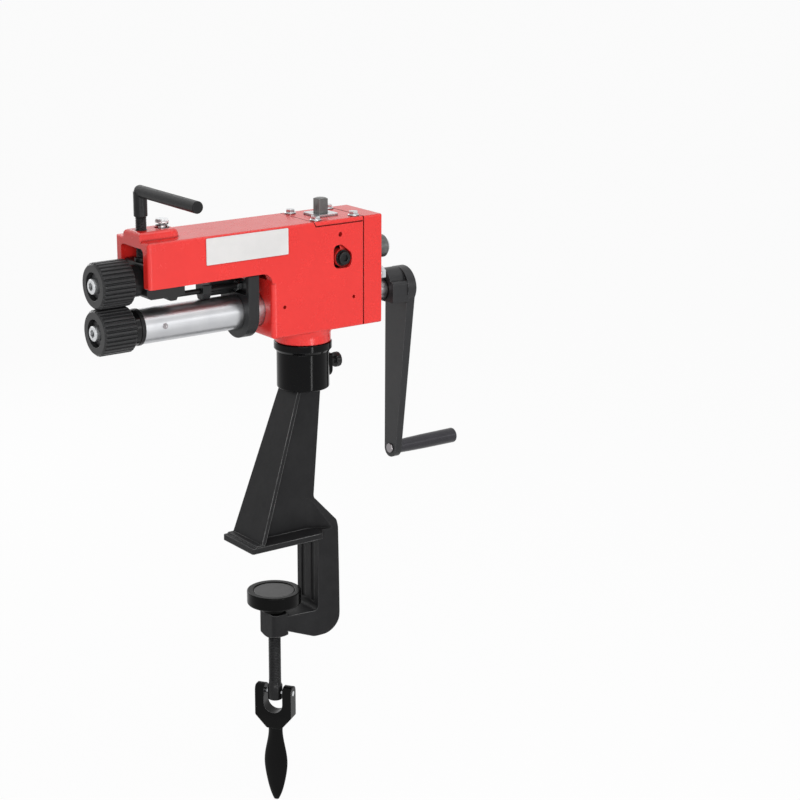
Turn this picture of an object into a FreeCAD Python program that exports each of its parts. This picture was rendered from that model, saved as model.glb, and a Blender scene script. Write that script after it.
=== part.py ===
import FreeCAD, Part
import math
import os
from FreeCAD import Vector

# Hand cranked bead roller head on a bench clamp stand, sizes in mm.
# +X runs along the shafts from the rollers to the crank, +Y to the left of someone at the
# rollers, +Z up. The origin lies where the clamp screw's axis meets the underside of the
# upper jaw, which rests on the bench top.

# Fits and gaps
running_clearance = 0.05
fit_clearance = 0.03
face_gap = 0.3
slide_clearance = 0.3

# Stand: ledge, column, spine and lower arm
ledge_front = 47.3
ledge_half_width = 31.4
ledge_thickness = 6.5
ledge_edge_rounding = 1.6
foot_rib_width = 6.0
foot_rib_height = 1.8
jaw_depth = 46.7
spine_thickness = 27.8
spine_half_width = 21.4
spine_shoulder_height = 14.0
spine_lean = 3.5
spine_recess_half_width = 12.5
spine_recess_depth = 17.0
spine_groove_width = 7.0
spine_groove_depth = 1.2
spine_corner_radius = 24.0
column_top_z = 173.8
flange_top_x = 22.5
flange_slope = 0.344
flange_thickness = 5.0
flange_top_half_width = 18.5
flange_foot_half_width = 30.5
web_half_thickness = 8.0
web_top_rear_x = 60.5
web_foot_inset = 3.3
shoulder_top_height = 43.0
shoulder_flare_end = 6.0
shoulder_flare_start = 2.0
shoulder_flare_radius = 24.0
lower_arm_depth = 31.5
lower_arm_front_depth = 18.0
screw_boss_half_width = 17.0
screw_boss_front = 11.0
screw_boss_rear = 9.4
screw_boss_corner = 6.0
screw_boss_rise = 2.9
screw_boss_length = 29.5

# Swivel: socket, ring, post and lock screw
swivel_x = 42.35
socket_radius = 29.6
socket_height = 42.7
socket_floor = 4.0
ring_radius = 32.6
ring_height = 10.7
ring_step_radius = 30.2
ring_step_height = 3.0
neck_radius = 31.3
neck_height = 15.3
post_radius = 20.0
post_seat_depth = 12.5
post_groove_depth = 1.5
lock_screw_height = 24.2
lock_screw_radius = 4.0
lock_boss_half_width = 10.0
lock_boss_below = 16.5
lock_boss_above = 10.5
lock_boss_reach = 4.0
lock_knob_stand_off = 8.0
lock_knob_radius = 8.5
lock_knob_length = 6.5
lock_knob_notches = 12

# Bench clamp: pad, screw, fork handle and pin
jaw_opening = 61.0
pad_radius = 31.0
pad_rim_width = 6.5
pad_recess = 1.5
pad_edge_height = 15.5
pad_hub_radius = 14.0
pad_hub_height = 5.0
pad_cone_rounding = 2.5
pad_height = 25.8
clamp_screw_radius = 7.2
clamp_tip_radius = 5.0
clamp_tip_length = 16.0
clamp_screw_length = 91.0
screw_eye_radius = 8.6
screw_eye_length = 18.0
screw_eye_rounding = 1.5
handle_pin_radius = 3.0
handle_turn_deg = -55.0
fork_half_width = 22.5
fork_gap_clearance = 2.9
fork_depth = 15.0
fork_tip_rise = 9.0
fork_shoulder_drop = 29.0
fork_neck_drop = 45.0
fork_crotch_drop = 24.5
paddle_neck_half_width = 9.0
paddle_half_width = 14.4
paddle_half_thickness = 4.6
paddle_length = 92.0

# Head casting: arm and gear housing
housing_front_x = -19.0
housing_length = 119.1
arm_length = 151.7
head_half_width = 34.7
axis_over_housing_bottom = 28.8
shaft_spacing = 50.0
arm_bottom_under_axis = 4.5
head_top_over_axis = 44.5
arm_wall = 11.2
arm_roof = 7.5
arm_fillet = 12.0
head_top_rounding = 2.0
head_bottom_rounding = 3.0
neck_flare = 6.0
neck_flare_rounding = 8.0
nose_rounding = 3.0
nose_corner_radius = 3.5
housing_corner_radius = 5.0
channel_corner_radius = 5.0
housing_wall = 6.2
front_wall = 27.0
rear_wall = 22.0
chamber_floor = 7.5
chamber_roof = 14.5
shaft_passage_depth = 14.5
rear_wall_top_under_axis = 19.5
lid_thickness = 5.8
lid_length = 65.2
lid_lead_slope = 2.6
lid_lead_gap = 1.0
joint_line_width = 1.5
joint_line_depth = 1.2
cover_thickness = 25.2
cover_bore_radius = 20.5
cover_bolt_spacing = 49.0
nose_boss_length = 51.5
nose_boss_height = 8.5
nose_boss_half_width = 19.0
nose_boss_draft = 3.0
nose_boss_rounding = 4.5
nose_boss_root = 3.5
lift_bolt_from_nose = 36.7
adjuster_from_nose = 11.7
side_hole_radius = 2.6
side_hole_depth = 4.0

# Support tube, bushes and shafts
tube_radius = 19.05
tube_wall = 4.0
tube_stand_off = 3.9
tube_seat_depth = 25.0
bush_flange_radius = 20.0
bush_flange_length = 4.7
thrust_collar_radius = 19.8
lower_shoulder_length = 2.0
bush_spigot_length = 22.0
shaft_radius = 11.0
roller_radius = 24.8
roller_width = 38.0
roller_stand_off = 9.2
roller_lead_width = 2.6
roller_lead_drop = 0.6
roller_recess_radius = 15.0
roller_recess_depth = 8.0
roller_rear_chamfer = 1.0
flute_count = 30
flute_depth = 1.8
flute_share = 0.62
flute_floor_share = 0.2
shoulder_radius = 13.5
key_width = 6.0
key_depth = 3.0
roller_key_length = 20.0
gear_key_length = 18.0
end_screw_head_radius = 8.0
end_screw_head_length = 8.0
end_screw_radius = 5.0
end_screw_length = 20.0
end_washer_radius = 14.0
end_washer_thickness = 2.5
gear_teeth = 20
gear_width = 22.0
gear_to_block_gap = 5.9
gear_pressure_angle_deg = 20.0
gear_backlash = 0.3
rear_bush_radius = 16.0
rear_sleeve_radius = 13.0
rear_sleeve_flange_radius = 17.0
rear_sleeve_flange_length = 5.0
rear_sleeve_flange_inset = 4.2
upper_sleeve_reach = 26.5
crank_stand_off = 25.7

# Tilting upper bearings and their adjuster
pivot_from_casting_rear = 24.2
pivot_bolt_radius = 4.0
pivot_socket_depth = 4.0
pivot_boss_radius = 10.0
pivot_recess_depth = 5.0
pivot_recess_reach = 15.0
pivot_recess_lead = 9.2
pivot_recess_below = 10.5
pivot_recess_above = 16.0
pivot_window_lead = 3.0
pivot_washer_radius = 8.8
pivot_washer_thickness = 1.5
pivot_head_radius = 7.2
pivot_head_length = 4.2
rear_block_length = 28.0
rear_block_half_width = 20.0
rear_block_half_height = 17.5
bearing_bush_radius = 13.8
front_block_length = 45.2
front_block_inset = 4.0
front_block_below_axis = 17.5
front_block_above_axis = 20.0
front_block_chamfer = 4.0
front_lug_length = 12.0
front_lug_height = 4.0
front_lug_from_nose = 28.8
bush_head_radius = 17.0
bush_head_length = 10.5
lift_bolt_radius = 4.0
lift_bolt_grip = 5.5
lift_bolt_stand = 5.6
spring_wire_radius = 0.7
spring_mean_radius = 6.4
spring_turns = 4
spring_well_depth = 12.5
adjuster_radius = 6.0
adjuster_tip_radius = 3.4
adjuster_rise = 14.5
thrust_pad_radius = 8.0
thrust_pad_height = 4.0
lever_collar_radius = 7.3
lever_collar_height = 21.0
lever_grip_radius = 6.4
lever_grip_length = 117.0
square_head_width = 12.0
square_head_height = 19.0
square_head_from_rear = 32.8
square_shank_radius = 6.0
adjuster_plate_width = 29.0
adjuster_plate_thickness = 2.5

# Crank
crank_throw = 192.5
crank_boss_radius = 23.5
crank_boss_length = 32.0
crank_boss_bottom = 14.0
crank_boss_half_width = 22.0
crank_boss_shelf = 10.5
crank_boss_shelf_rounding = 4.5
crank_cap_radius = 16.4
crank_arm_thickness = 11.2
crank_arm_lean = 8.5
crank_tip_thickness = 8.2
crank_tip_radius = 10.3
crank_root_half_width = 21.5
crank_bore_depth = 24.0
crank_screw_recess = 4.0
crank_screw_recess_radius = 10.5
crank_set_screw_from_face = 20.0
grip_root_radius = 7.6
grip_radius = 8.6
grip_length = 84.0
grip_axle_radius = 4.5
grip_gap = 1.0
grip_end_recess = 4.0

# Depth stop on its guide rod
bracket_from_housing = 13.7
bracket_thickness = 13.2
bracket_radius = 28.9
bracket_top_gap = 0.6
bracket_rim_width = 5.0
bracket_pocket_depth = 7.0
guide_bar_reach = 26.0
guide_bar_thickness = 6.0
guide_bar_above_rod = 6.5
rod_radius = 3.0
rod_under_upper_axis = 21.5
rod_front_reach = 72.0
rod_nut_across = 11.0
rod_nut_length = 6.0
rod_sleeve_radius = 6.0
stop_from_bracket = 34.0
stop_length = 10.0
stop_half_width = 8.0
stop_foot_half_width = 4.0
stop_above_rod = 7.5

# Fasteners
cover_bolt_across = 14.0
cover_bolt_flange_radius = 8.8
cover_bolt_height = 8.5
cover_bolt_radius = 4.5
cover_bolt_length = 42.0
lift_bolt_across = 13.0
lift_bolt_flange_radius = 7.2
lift_bolt_height = 3.8
lid_bolt_across = 9.0
lid_bolt_flange_radius = 6.2
lid_bolt_height = 5.0
lid_bolt_radius = 3.0
lid_bolt_length = 12.0
lid_bolt_front_inset = 8.6
lid_bolt_rear_inset = 6.1
lid_bolt_spread = 50.0
crank_screw_across = 11.0
crank_screw_height = 5.5
set_screw_radius = 2.0
set_screw_sink = 6.0
set_screw_above_axis = 5.5
tube_set_screw_from_front = 15.4
bush_set_screw_from_rear = 12.2
socket_depth_share = 0.5

# Heights along the stack of stand, swivel and head
socket_top_z = column_top_z + socket_height
neck_bottom_z = socket_top_z + ring_height + face_gap
housing_bottom_z = neck_bottom_z + neck_height
lower_axis_z = housing_bottom_z + axis_over_housing_bottom
upper_axis_z = lower_axis_z + shaft_spacing
arm_bottom_z = upper_axis_z - arm_bottom_under_axis
head_top_z = upper_axis_z + head_top_over_axis
channel_roof_z = head_top_z - arm_roof
chamber_roof_z = head_top_z - chamber_roof
lid_seat_z = head_top_z - lid_thickness
rear_wall_top_z = upper_axis_z - rear_wall_top_under_axis
nose_boss_top_z = head_top_z + nose_boss_height
cover_bolt_z = lower_axis_z + shaft_spacing / 2
set_screw_z = lower_axis_z + set_screw_above_axis
rod_z = upper_axis_z - rod_under_upper_axis

# Stations along the shafts
nose_x = housing_front_x - arm_length
casting_rear_x = housing_front_x + housing_length
cover_rear_x = casting_rear_x + cover_thickness
chamber_front_x = housing_front_x + front_wall
chamber_rear_x = casting_rear_x - rear_wall
lid_front_x = casting_rear_x - lid_length
roller_rear_x = nose_x - roller_stand_off
roller_front_x = roller_rear_x - roller_width
roller_floor_x = roller_front_x + roller_recess_depth
lower_shoulder_x = roller_rear_x + lower_shoulder_length
shaft_front_x = roller_floor_x + face_gap
tube_front_x = nose_x + tube_stand_off
bush_front_x = tube_front_x - bush_flange_length
tube_rear_x = housing_front_x + tube_seat_depth
pivot_x = casting_rear_x - pivot_from_casting_rear
adjuster_x = nose_x + adjuster_from_nose
lift_bolt_x = nose_x + lift_bolt_from_nose
front_block_x = nose_x + front_block_inset
front_block_rear_x = front_block_x + front_block_length
front_block_top_z = upper_axis_z + front_block_above_axis
front_block_bottom_z = upper_axis_z - front_block_below_axis
rear_block_front_x = pivot_x - rear_block_length / 2
rear_block_rear_x = pivot_x + rear_block_length / 2
gear_front_x = rear_block_front_x - gear_to_block_gap - gear_width
flange_x = cover_rear_x - rear_sleeve_flange_inset
upper_sleeve_rear_x = cover_rear_x + upper_sleeve_reach
crank_boss_front_x = cover_rear_x + crank_stand_off
crank_face_x = crank_boss_front_x + crank_boss_length
crank_arm_front_x = crank_face_x - crank_arm_thickness
crank_tip_front_x = crank_arm_front_x - crank_arm_lean
grip_z = lower_axis_z - crank_throw
bracket_rear_x = housing_front_x - bracket_from_housing
bracket_front_x = bracket_rear_x - bracket_thickness
stop_rear_x = bracket_front_x - stop_from_bracket
square_head_x = casting_rear_x - square_head_from_rear

# Levels of the bench clamp
spine_rear_x = jaw_depth + spine_thickness
spine_foot_x = spine_rear_x + spine_lean
web_foot_rear_x = jaw_depth + web_foot_inset
pad_top_z = -jaw_opening
pad_bottom_z = pad_top_z - pad_height
screw_boss_top_z = pad_bottom_z - face_gap
screw_boss_bottom_z = screw_boss_top_z - screw_boss_length
lower_arm_z = screw_boss_top_z - screw_boss_rise
frame_base_z = lower_arm_z - lower_arm_depth - spine_corner_radius
clamp_shoulder_z = pad_bottom_z - face_gap
handle_pin_z = clamp_shoulder_z - clamp_screw_length - screw_eye_length / 2
fork_gap_half_width = screw_eye_radius + fork_gap_clearance

gear_module = 2 * (shaft_spacing / 2) / gear_teeth
thrust_pad_bottom_z = front_block_top_z + face_gap
thrust_pad_top_z = thrust_pad_bottom_z + thrust_pad_height
lever_collar_z = nose_boss_top_z + adjuster_rise
lever_axis_z = lever_collar_z + lever_collar_height + lever_grip_radius - 1.0
spring_seat_z = nose_boss_top_z - spring_well_depth
lift_head_z = nose_boss_top_z + lift_bolt_stand
crank_head_seat_x = crank_face_x - crank_screw_recess


def point_xy(u, v, w):
    return Vector(u, v, w)


def point_xz(u, v, w):
    return Vector(u, w, v)


def point_yz(u, v, w):
    return Vector(w, u, v)


def rounded_wire(corners, to_point):
    """Closed wire through (u, v, radius) corners, each rounded with its own radius."""
    bends = []
    count = len(corners)
    for index, (u, v, radius) in enumerate(corners):
        here = Vector(u, v, 0)
        before = Vector(corners[index - 1][0], corners[index - 1][1], 0) - here
        following = corners[(index + 1) % count]
        after = Vector(following[0], following[1], 0) - here
        before.normalize()
        after.normalize()
        if radius <= 0:
            bends.append((here, None, here))
            continue
        half_angle = before.getAngle(after) / 2
        reach = radius / math.tan(half_angle)
        bisector = before + after
        bisector.normalize()
        middle = here + bisector * (radius / math.sin(half_angle) - radius)
        bends.append((here + before * reach, middle, here + after * reach))
    edges = []
    for index, (start, middle, end) in enumerate(bends):
        if middle is not None:
            arc = Part.Arc(*[to_point(p.x, p.y) for p in (start, middle, end)])
            edges.append(arc.toShape())
        next_start = bends[(index + 1) % count][0]
        if end.distanceToPoint(next_start) > 1e-6:
            line = Part.LineSegment(to_point(end.x, end.y), to_point(next_start.x, next_start.y))
            edges.append(line.toShape())
    return Part.Wire(edges)


def plate(corners, to_point, low, high):
    """Outline of rounded corners in a main plane, extruded from low to high across it."""
    wire = rounded_wire(corners, lambda u, v: to_point(u, v, low))
    travel = to_point(0, 0, high) - to_point(0, 0, low)
    return Part.Face(wire).extrude(travel)


def plate_xy(corners, low, high):
    return plate(corners, point_xy, low, high)


def plate_xz(corners, low, high):
    return plate(corners, point_xz, low, high)


def plate_yz(corners, low, high):
    return plate(corners, point_yz, low, high)


def block(x0, x1, y0, y1, z0, z1):
    return Part.makeBox(x1 - x0, y1 - y0, z1 - z0, Vector(x0, y0, z0))


def rod_along_x(radius, x0, x1, y, z):
    return Part.makeCylinder(radius, x1 - x0, Vector(x0, y, z), Vector(1, 0, 0))


def rod_along_y(radius, y0, y1, x, z):
    return Part.makeCylinder(radius, y1 - y0, Vector(x, y0, z), Vector(0, 1, 0))


def rod_along_z(radius, z0, z1, x, y):
    return Part.makeCylinder(radius, z1 - z0, Vector(x, y, z0), Vector(0, 0, 1))


def turned_x(profile, z):
    """Solid turned about a line along X, from (x, radius, rounding) corners."""
    wire = rounded_wire(profile, lambda u, v: Vector(u, 0, z + v))
    return Part.Face(wire).revolve(Vector(0, 0, z), Vector(1, 0, 0), 360)


def turned_y(profile, x, z):
    """Solid turned about a line along Y, from (y, radius, rounding) corners."""
    wire = rounded_wire(profile, lambda u, v: Vector(x, u, z + v))
    return Part.Face(wire).revolve(Vector(x, 0, z), Vector(0, 1, 0), 360)


def turned_z(profile, x):
    """Solid turned about a line along Z, from (z, radius, rounding) corners."""
    wire = rounded_wire(profile, lambda u, v: Vector(x + v, 0, u))
    return Part.Face(wire).revolve(Vector(x, 0, 0), Vector(0, 0, 1), 360)


def hexagon(across_flats, low, high):
    """Upright hexagonal prism about the Z axis."""
    corner_radius = across_flats / math.sqrt(3)
    corners = []
    for step in range(6):
        angle = math.radians(60 * step)
        corners.append((corner_radius * math.cos(angle), corner_radius * math.sin(angle), 0))
    return plate_xy(corners, low, high)


def stand_on(shape, seat, direction):
    """Turns a piece built up from the origin along +Z so that it stands on seat."""
    placed = shape.copy()
    placed.Placement = FreeCAD.Placement(seat, FreeCAD.Rotation(Vector(0, 0, 1), direction))
    return placed


def union(shapes):
    return shapes[0].multiFuse(shapes[1:]).removeSplitter()


def cut_all(shape, tools):
    return shape.cut(tools)


def flange_bolt(across, flange_radius, height, shank_radius, shank_length, seat, outward):
    """Hexagon head with its washer flange on a seat, and its shank down into the hole."""
    flange_height = height * 0.25
    flange = turned_z([(0, 0, 0), (0, flange_radius, 0), (flange_height, flange_radius, 0),
                       (flange_height * 1.6, across * 0.56, 0), (flange_height * 1.6, 0, 0)], 0)
    head = hexagon(across, 0, height)
    shank = Part.makeCylinder(shank_radius, shank_length, Vector(0, 0, -shank_length))
    return stand_on(union([flange, head, shank]), seat, outward)


def cap_screw(head_radius, head_length, shank_radius, shank_length, seat, outward):
    """Socket head cap screw with its hexagon socket, its head's underside on the seat."""
    chamfer = head_radius * 0.1
    head = turned_z([(0, 0, 0), (0, head_radius, 0), (head_length - chamfer, head_radius, 0),
                     (head_length, head_radius - chamfer, 0), (head_length, 0, 0)], 0)
    shank = Part.makeCylinder(shank_radius, shank_length, Vector(0, 0, -shank_length))
    socket_depth = head_length * socket_depth_share
    socket = hexagon(head_radius, head_length - socket_depth, head_length + 1)
    return stand_on(union([head, shank]).cut(socket), seat, outward)


def set_screw(radius, tip, end):
    """Headless screw from its tip to its end, with a hexagon socket in the end."""
    outward = end - tip
    length = outward.Length
    body = Part.makeCylinder(radius, length)
    socket = hexagon(radius, length - radius, length + 1)
    return stand_on(body.cut(socket), tip, outward)


def key(x0, length, axis_z, up):
    """Parallel key, half in the shaft and half in the hub, on the side that up names."""
    middle = axis_z + up * shaft_radius
    return block(x0, x0 + length, -key_width / 2, key_width / 2,
                 middle - key_depth, middle + key_depth)


def stand_casting():
    """Ledge, T-section column and C-shaped clamp frame cast in one."""
    ledge = plate_xy([(-ledge_front, -ledge_half_width, 2), (-ledge_front, ledge_half_width, 2),
                      (jaw_depth, ledge_half_width, 3),
                      (jaw_depth + 6, spine_half_width, 0), (jaw_depth + 6, -spine_half_width, 0),
                      (jaw_depth, -ledge_half_width, 3)], 0, ledge_thickness)
    ledge_side = plate_xz([(-ledge_front, 0, 0),
                           (-ledge_front, ledge_thickness, ledge_edge_rounding),
                           (jaw_depth + 7, ledge_thickness, 0), (jaw_depth + 7, 0, 0)],
                          -ledge_half_width - 1, ledge_half_width + 1)
    ledge = ledge.common(ledge_side)
    rise = column_top_z - ledge_thickness
    foot_x = flange_top_x - rise * flange_slope
    foot_z = ledge_thickness / 2
    foot_edge_x = flange_top_x - (column_top_z - foot_z) * flange_slope
    rib_top = ledge_thickness + foot_rib_height
    foot_rib = plate_xz([(foot_edge_x - foot_rib_width, foot_z, 0),
                         (foot_edge_x - foot_rib_width, rib_top, foot_rib_height),
                         (foot_edge_x + flange_thickness, rib_top, 0),
                         (foot_edge_x + flange_thickness, foot_z, 0)],
                        -flange_foot_half_width, flange_foot_half_width)
    flange_side = plate_xz([(foot_edge_x, foot_z, 0), (foot_edge_x + flange_thickness, foot_z, 0),
                            (flange_top_x + flange_thickness, column_top_z, 0),
                            (flange_top_x, column_top_z, 0)],
                           -flange_foot_half_width, flange_foot_half_width)
    flange_front = plate_yz([(-flange_foot_half_width, foot_z, 0),
                             (-flange_top_half_width, column_top_z, 0),
                             (flange_top_half_width, column_top_z, 0),
                             (flange_foot_half_width, foot_z, 0)],
                            foot_edge_x - 1, flange_top_x + flange_thickness + 1)
    flange = flange_side.common(flange_front)
    web = plate_xz([(foot_x + flange_thickness / 2, foot_z, 0),
                    (flange_top_x + flange_thickness / 2, column_top_z, 0),
                    (web_top_rear_x, column_top_z, 0), (web_foot_rear_x, shoulder_top_height, 8),
                    (spine_rear_x - 2, spine_shoulder_height + 2, 0), (spine_rear_x - 2, foot_z, 0)],
                   -web_half_thickness, web_half_thickness)
    spine = plate_xz([(jaw_depth, shoulder_top_height, 0),
                      (web_foot_rear_x, shoulder_top_height, 0),
                      (spine_rear_x, spine_shoulder_height, 6),
                      (spine_foot_x, lower_arm_z - lower_arm_depth, spine_corner_radius),
                      (jaw_depth - 6, lower_arm_z - lower_arm_depth, 14),
                      (screw_boss_rear * 0.6, lower_arm_z - lower_arm_front_depth, 0),
                      (0, lower_arm_z - lower_arm_front_depth, 0), (0, lower_arm_z, 0),
                      (jaw_depth, lower_arm_z, 5)],
                     -spine_half_width, spine_half_width)
    shoulders = plate_yz([(-spine_half_width, frame_base_z, 0),
                          (-spine_half_width, ledge_thickness, 12),
                          (-web_half_thickness, shoulder_top_height, 0),
                          (web_half_thickness, shoulder_top_height, 0),
                          (spine_half_width, ledge_thickness, 12),
                          (spine_half_width, frame_base_z, 0)],
                         -1, spine_foot_x + 0.5)
    waist = plate_xy([(0, -screw_boss_half_width + 0.5, 0), (jaw_depth, -spine_half_width, 0),
                      (spine_foot_x + 0.5, -spine_half_width, 4),
                      (spine_foot_x + 0.5, spine_half_width, 4),
                      (jaw_depth, spine_half_width, 0),
                      (0, screw_boss_half_width - 0.5, 0)],
                     frame_base_z, column_top_z)
    frame = spine.common(shoulders).common(waist)
    flare_front_x = jaw_depth - shoulder_flare_radius / 2
    gusset = block(flare_front_x, jaw_depth + 1, -spine_half_width, spine_half_width,
                   foot_z, shoulder_top_height).common(shoulders)
    body = union([ledge, foot_rib, flange, web, frame, gusset, clamp_screw_boss()])
    recess = plate_yz([(-spine_recess_half_width, lower_arm_z, 6),
                       (-spine_recess_half_width, -ledge_thickness, 6),
                       (spine_recess_half_width, -ledge_thickness, 6),
                       (spine_recess_half_width, lower_arm_z, 6)],
                      spine_rear_x - spine_recess_depth, spine_foot_x + 1)
    bore = rod_along_z(clamp_screw_radius + running_clearance,
                       screw_boss_bottom_z - 1, screw_boss_top_z + 1, 0, 0)
    grooves = []
    for side in (-1, 1):
        middle = side * spine_half_width * 0.45
        grooves.append(block(jaw_depth - 1, jaw_depth + spine_groove_depth,
                             middle - spine_groove_width / 2, middle + spine_groove_width / 2,
                             lower_arm_z + 8, -ledge_thickness))
    flares = []
    for side in (-1, 1):
        flares.append(plate_xy([(flare_front_x - 1, side * web_half_thickness, 0),
                                (jaw_depth - shoulder_flare_start, side * web_half_thickness,
                                 shoulder_flare_radius),
                                (spine_rear_x - shoulder_flare_end,
                                 side * (spine_half_width + 1), 0),
                                (flare_front_x - 1, side * (spine_half_width + 1), 0)],
                               ledge_thickness, shoulder_top_height + 1))
    return cut_all(body, [recess, bore] + grooves + flares)


def clamp_screw_boss():
    """Block at the lower arm's end that the clamp screw is threaded through."""
    half = screw_boss_half_width
    corner = screw_boss_corner
    outline = plate_xy([(-screw_boss_front, -half, corner), (screw_boss_rear, -half, corner / 2),
                        (screw_boss_rear, half, corner / 2), (-screw_boss_front, half, corner)],
                       screw_boss_bottom_z, screw_boss_top_z)
    taper = turned_z([(screw_boss_bottom_z, 0, 0), (screw_boss_bottom_z, half - corner, 0),
                      (screw_boss_bottom_z + corner, half + corner, 0),
                      (screw_boss_top_z, half + corner, 0), (screw_boss_top_z, 0, 0)], 0)
    return outline.common(taper)


def stand_socket():
    """Glossy collar on the column that the swivel post stands in, with its lock screw boss."""
    lock_z = column_top_z + lock_screw_height
    collar = turned_z([(column_top_z, 0, 0), (column_top_z, socket_radius, 2),
                       (socket_top_z, socket_radius, 1), (socket_top_z, 0, 0)], swivel_x)
    half = lock_boss_half_width
    boss = plate_yz([(-half, lock_z - lock_boss_below, half - 0.5),
                     (half, lock_z - lock_boss_below, half - 0.5),
                     (half, lock_z + lock_boss_above, 3), (-half, lock_z + lock_boss_above, 3)],
                    swivel_x + post_radius + 2, swivel_x + socket_radius + lock_boss_reach)
    bore = rod_along_z(post_radius + running_clearance, column_top_z + socket_floor,
                       socket_top_z + 1, swivel_x, 0)
    screw_hole = rod_along_x(lock_screw_radius + running_clearance, swivel_x,
                             swivel_x + socket_radius + lock_boss_reach + 1, 0, lock_z)
    return cut_all(union([collar, boss]), [bore, screw_hole])


def swivel_ring():
    """Stepped ring on the socket that the head's neck turns on."""
    inner = post_radius + running_clearance
    return turned_z([(socket_top_z, inner, 0), (socket_top_z, ring_step_radius, 0),
                     (socket_top_z + ring_step_height, ring_radius, 0),
                     (socket_top_z + ring_height, ring_radius, 1.2),
                     (socket_top_z + ring_height, inner, 0)], swivel_x)


def lock_thumb_screw():
    """Knurled thumb screw whose tip enters the swivel post's groove."""
    lock_z = column_top_z + lock_screw_height
    tip_x = swivel_x + post_radius - post_groove_depth + face_gap
    knob_x = swivel_x + socket_radius + lock_boss_reach + lock_knob_stand_off
    shank = turned_x([(tip_x, 0, 0), (tip_x, lock_screw_radius * 0.6, 0),
                      (tip_x + 2, lock_screw_radius, 0), (knob_x, lock_screw_radius, 0),
                      (knob_x, 0, 0)], lock_z)
    knob = turned_x([(knob_x, 0, 0), (knob_x, lock_knob_radius, 1),
                     (knob_x + lock_knob_length, lock_knob_radius, 1),
                     (knob_x + lock_knob_length, lock_knob_radius * 0.6, 0),
                     (knob_x + lock_knob_length - 1, lock_knob_radius * 0.55, 0),
                     (knob_x + lock_knob_length - 1, 0, 0)], lock_z)
    notches = []
    for step in range(lock_knob_notches):
        angle = 2 * math.pi * step / lock_knob_notches
        notches.append(rod_along_x(0.9, knob_x - 1, knob_x + lock_knob_length + 1,
                                   lock_knob_radius * math.cos(angle),
                                   lock_z + lock_knob_radius * math.sin(angle)))
    return union([shank, knob]).cut(notches)


def clamp_pad():
    """Round pressure pad with a raised rim and a conical underside."""
    inner = clamp_tip_radius + running_clearance
    edge_z = pad_top_z - pad_edge_height
    return turned_z([(pad_bottom_z, inner, 0), (pad_bottom_z, pad_hub_radius, 1),
                     (pad_bottom_z + pad_hub_height, pad_hub_radius, 2),
                     (edge_z, pad_radius, pad_cone_rounding),
                     (pad_top_z, pad_radius, 1.2), (pad_top_z, pad_radius - pad_rim_width, 0),
                     (pad_top_z - pad_recess, pad_radius - pad_rim_width - 1, 0),
                     (pad_top_z - pad_recess, 0, 0),
                     (pad_bottom_z + clamp_tip_length + face_gap, 0, 0),
                     (pad_bottom_z + clamp_tip_length + face_gap, inner, 0)], 0)


def clamp_screw():
    """Clamp screw from its tip in the pad to the eye that carries the folding handle."""
    eye_top_z = handle_pin_z + screw_eye_length / 2
    eye_bottom_z = handle_pin_z - screw_eye_length / 2
    body = turned_z([(eye_bottom_z, 0, 0), (eye_bottom_z, screw_eye_radius, screw_eye_rounding),
                     (eye_top_z, screw_eye_radius, 1), (eye_top_z + 2, clamp_screw_radius, 0),
                     (clamp_shoulder_z, clamp_screw_radius, 0),
                     (clamp_shoulder_z, clamp_tip_radius, 0),
                     (clamp_shoulder_z + clamp_tip_length, clamp_tip_radius, 1),
                     (clamp_shoulder_z + clamp_tip_length, 0, 0)], 0)
    hole = rod_along_x(handle_pin_radius + running_clearance, -screw_eye_radius - 1,
                       screw_eye_radius + 1, 0, handle_pin_z)
    return turned_about_screw(body.cut(hole))


def turned_about_screw(shape):
    """Turns a piece of the clamp handle, built square to X, to its place about the screw."""
    turned = shape.copy()
    turned.rotate(Vector(0, 0, 0), Vector(0, 0, 1), handle_turn_deg)
    return turned


def clamp_handle():
    """Fork that straddles the screw's eye, running down into a leaf-shaped paddle."""
    top = handle_pin_z + fork_tip_rise
    shoulder = handle_pin_z - fork_shoulder_drop
    neck = handle_pin_z - fork_neck_drop
    crotch = handle_pin_z - fork_crotch_drop
    gap = fork_gap_half_width
    fork_face = plate_xz([(-fork_half_width, top, 2), (-fork_half_width, shoulder, 3),
                          (-paddle_neck_half_width, neck, 3), (paddle_neck_half_width, neck, 3),
                          (fork_half_width, shoulder, 3), (fork_half_width, top, 2),
                          (gap, top, 1), (gap, crotch, gap - 0.01), (-gap, crotch, gap - 0.01),
                          (-gap, top, 1)], -fork_depth / 2, fork_depth / 2)
    fork_round = fork_depth / 2 - 0.01
    fork_side = plate_yz([(-fork_depth / 2, top, fork_round), (fork_depth / 2, top, fork_round),
                          (fork_depth / 2, shoulder, 4), (paddle_half_thickness + 1, neck, 0),
                          (-paddle_half_thickness - 1, neck, 0), (-fork_depth / 2, shoulder, 4)],
                         -fork_half_width - 1, fork_half_width + 1)
    fork = fork_face.common(fork_side)
    stations = [(-1.5, paddle_neck_half_width, 1.15), (0.1, paddle_neck_half_width, 1.1),
                (0.25, paddle_half_width * 0.8, 1.05), (0.48, paddle_half_width, 1.0),
                (0.75, paddle_half_width * 0.76, 0.8), (0.93, paddle_half_width * 0.42, 0.6),
                (1.0, paddle_half_width * 0.2, 0.4)]
    sections = []
    for share, half_width, thickness_share in stations:
        z = neck + 1.5 if share < 0 else neck - paddle_length * share
        half_thickness = paddle_half_thickness * thickness_share
        ellipse = Part.Ellipse(Vector(half_width, 0, z), Vector(0, half_thickness, z),
                               Vector(0, 0, z))
        sections.append(Part.Wire([ellipse.toShape()]))
    paddle = Part.makeLoft(sections, True, False)
    hole = rod_along_x(handle_pin_radius + fit_clearance, -fork_half_width - 1,
                       fork_half_width + 1, 0, handle_pin_z)
    return turned_about_screw(union([fork, paddle]).cut(hole))


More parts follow.
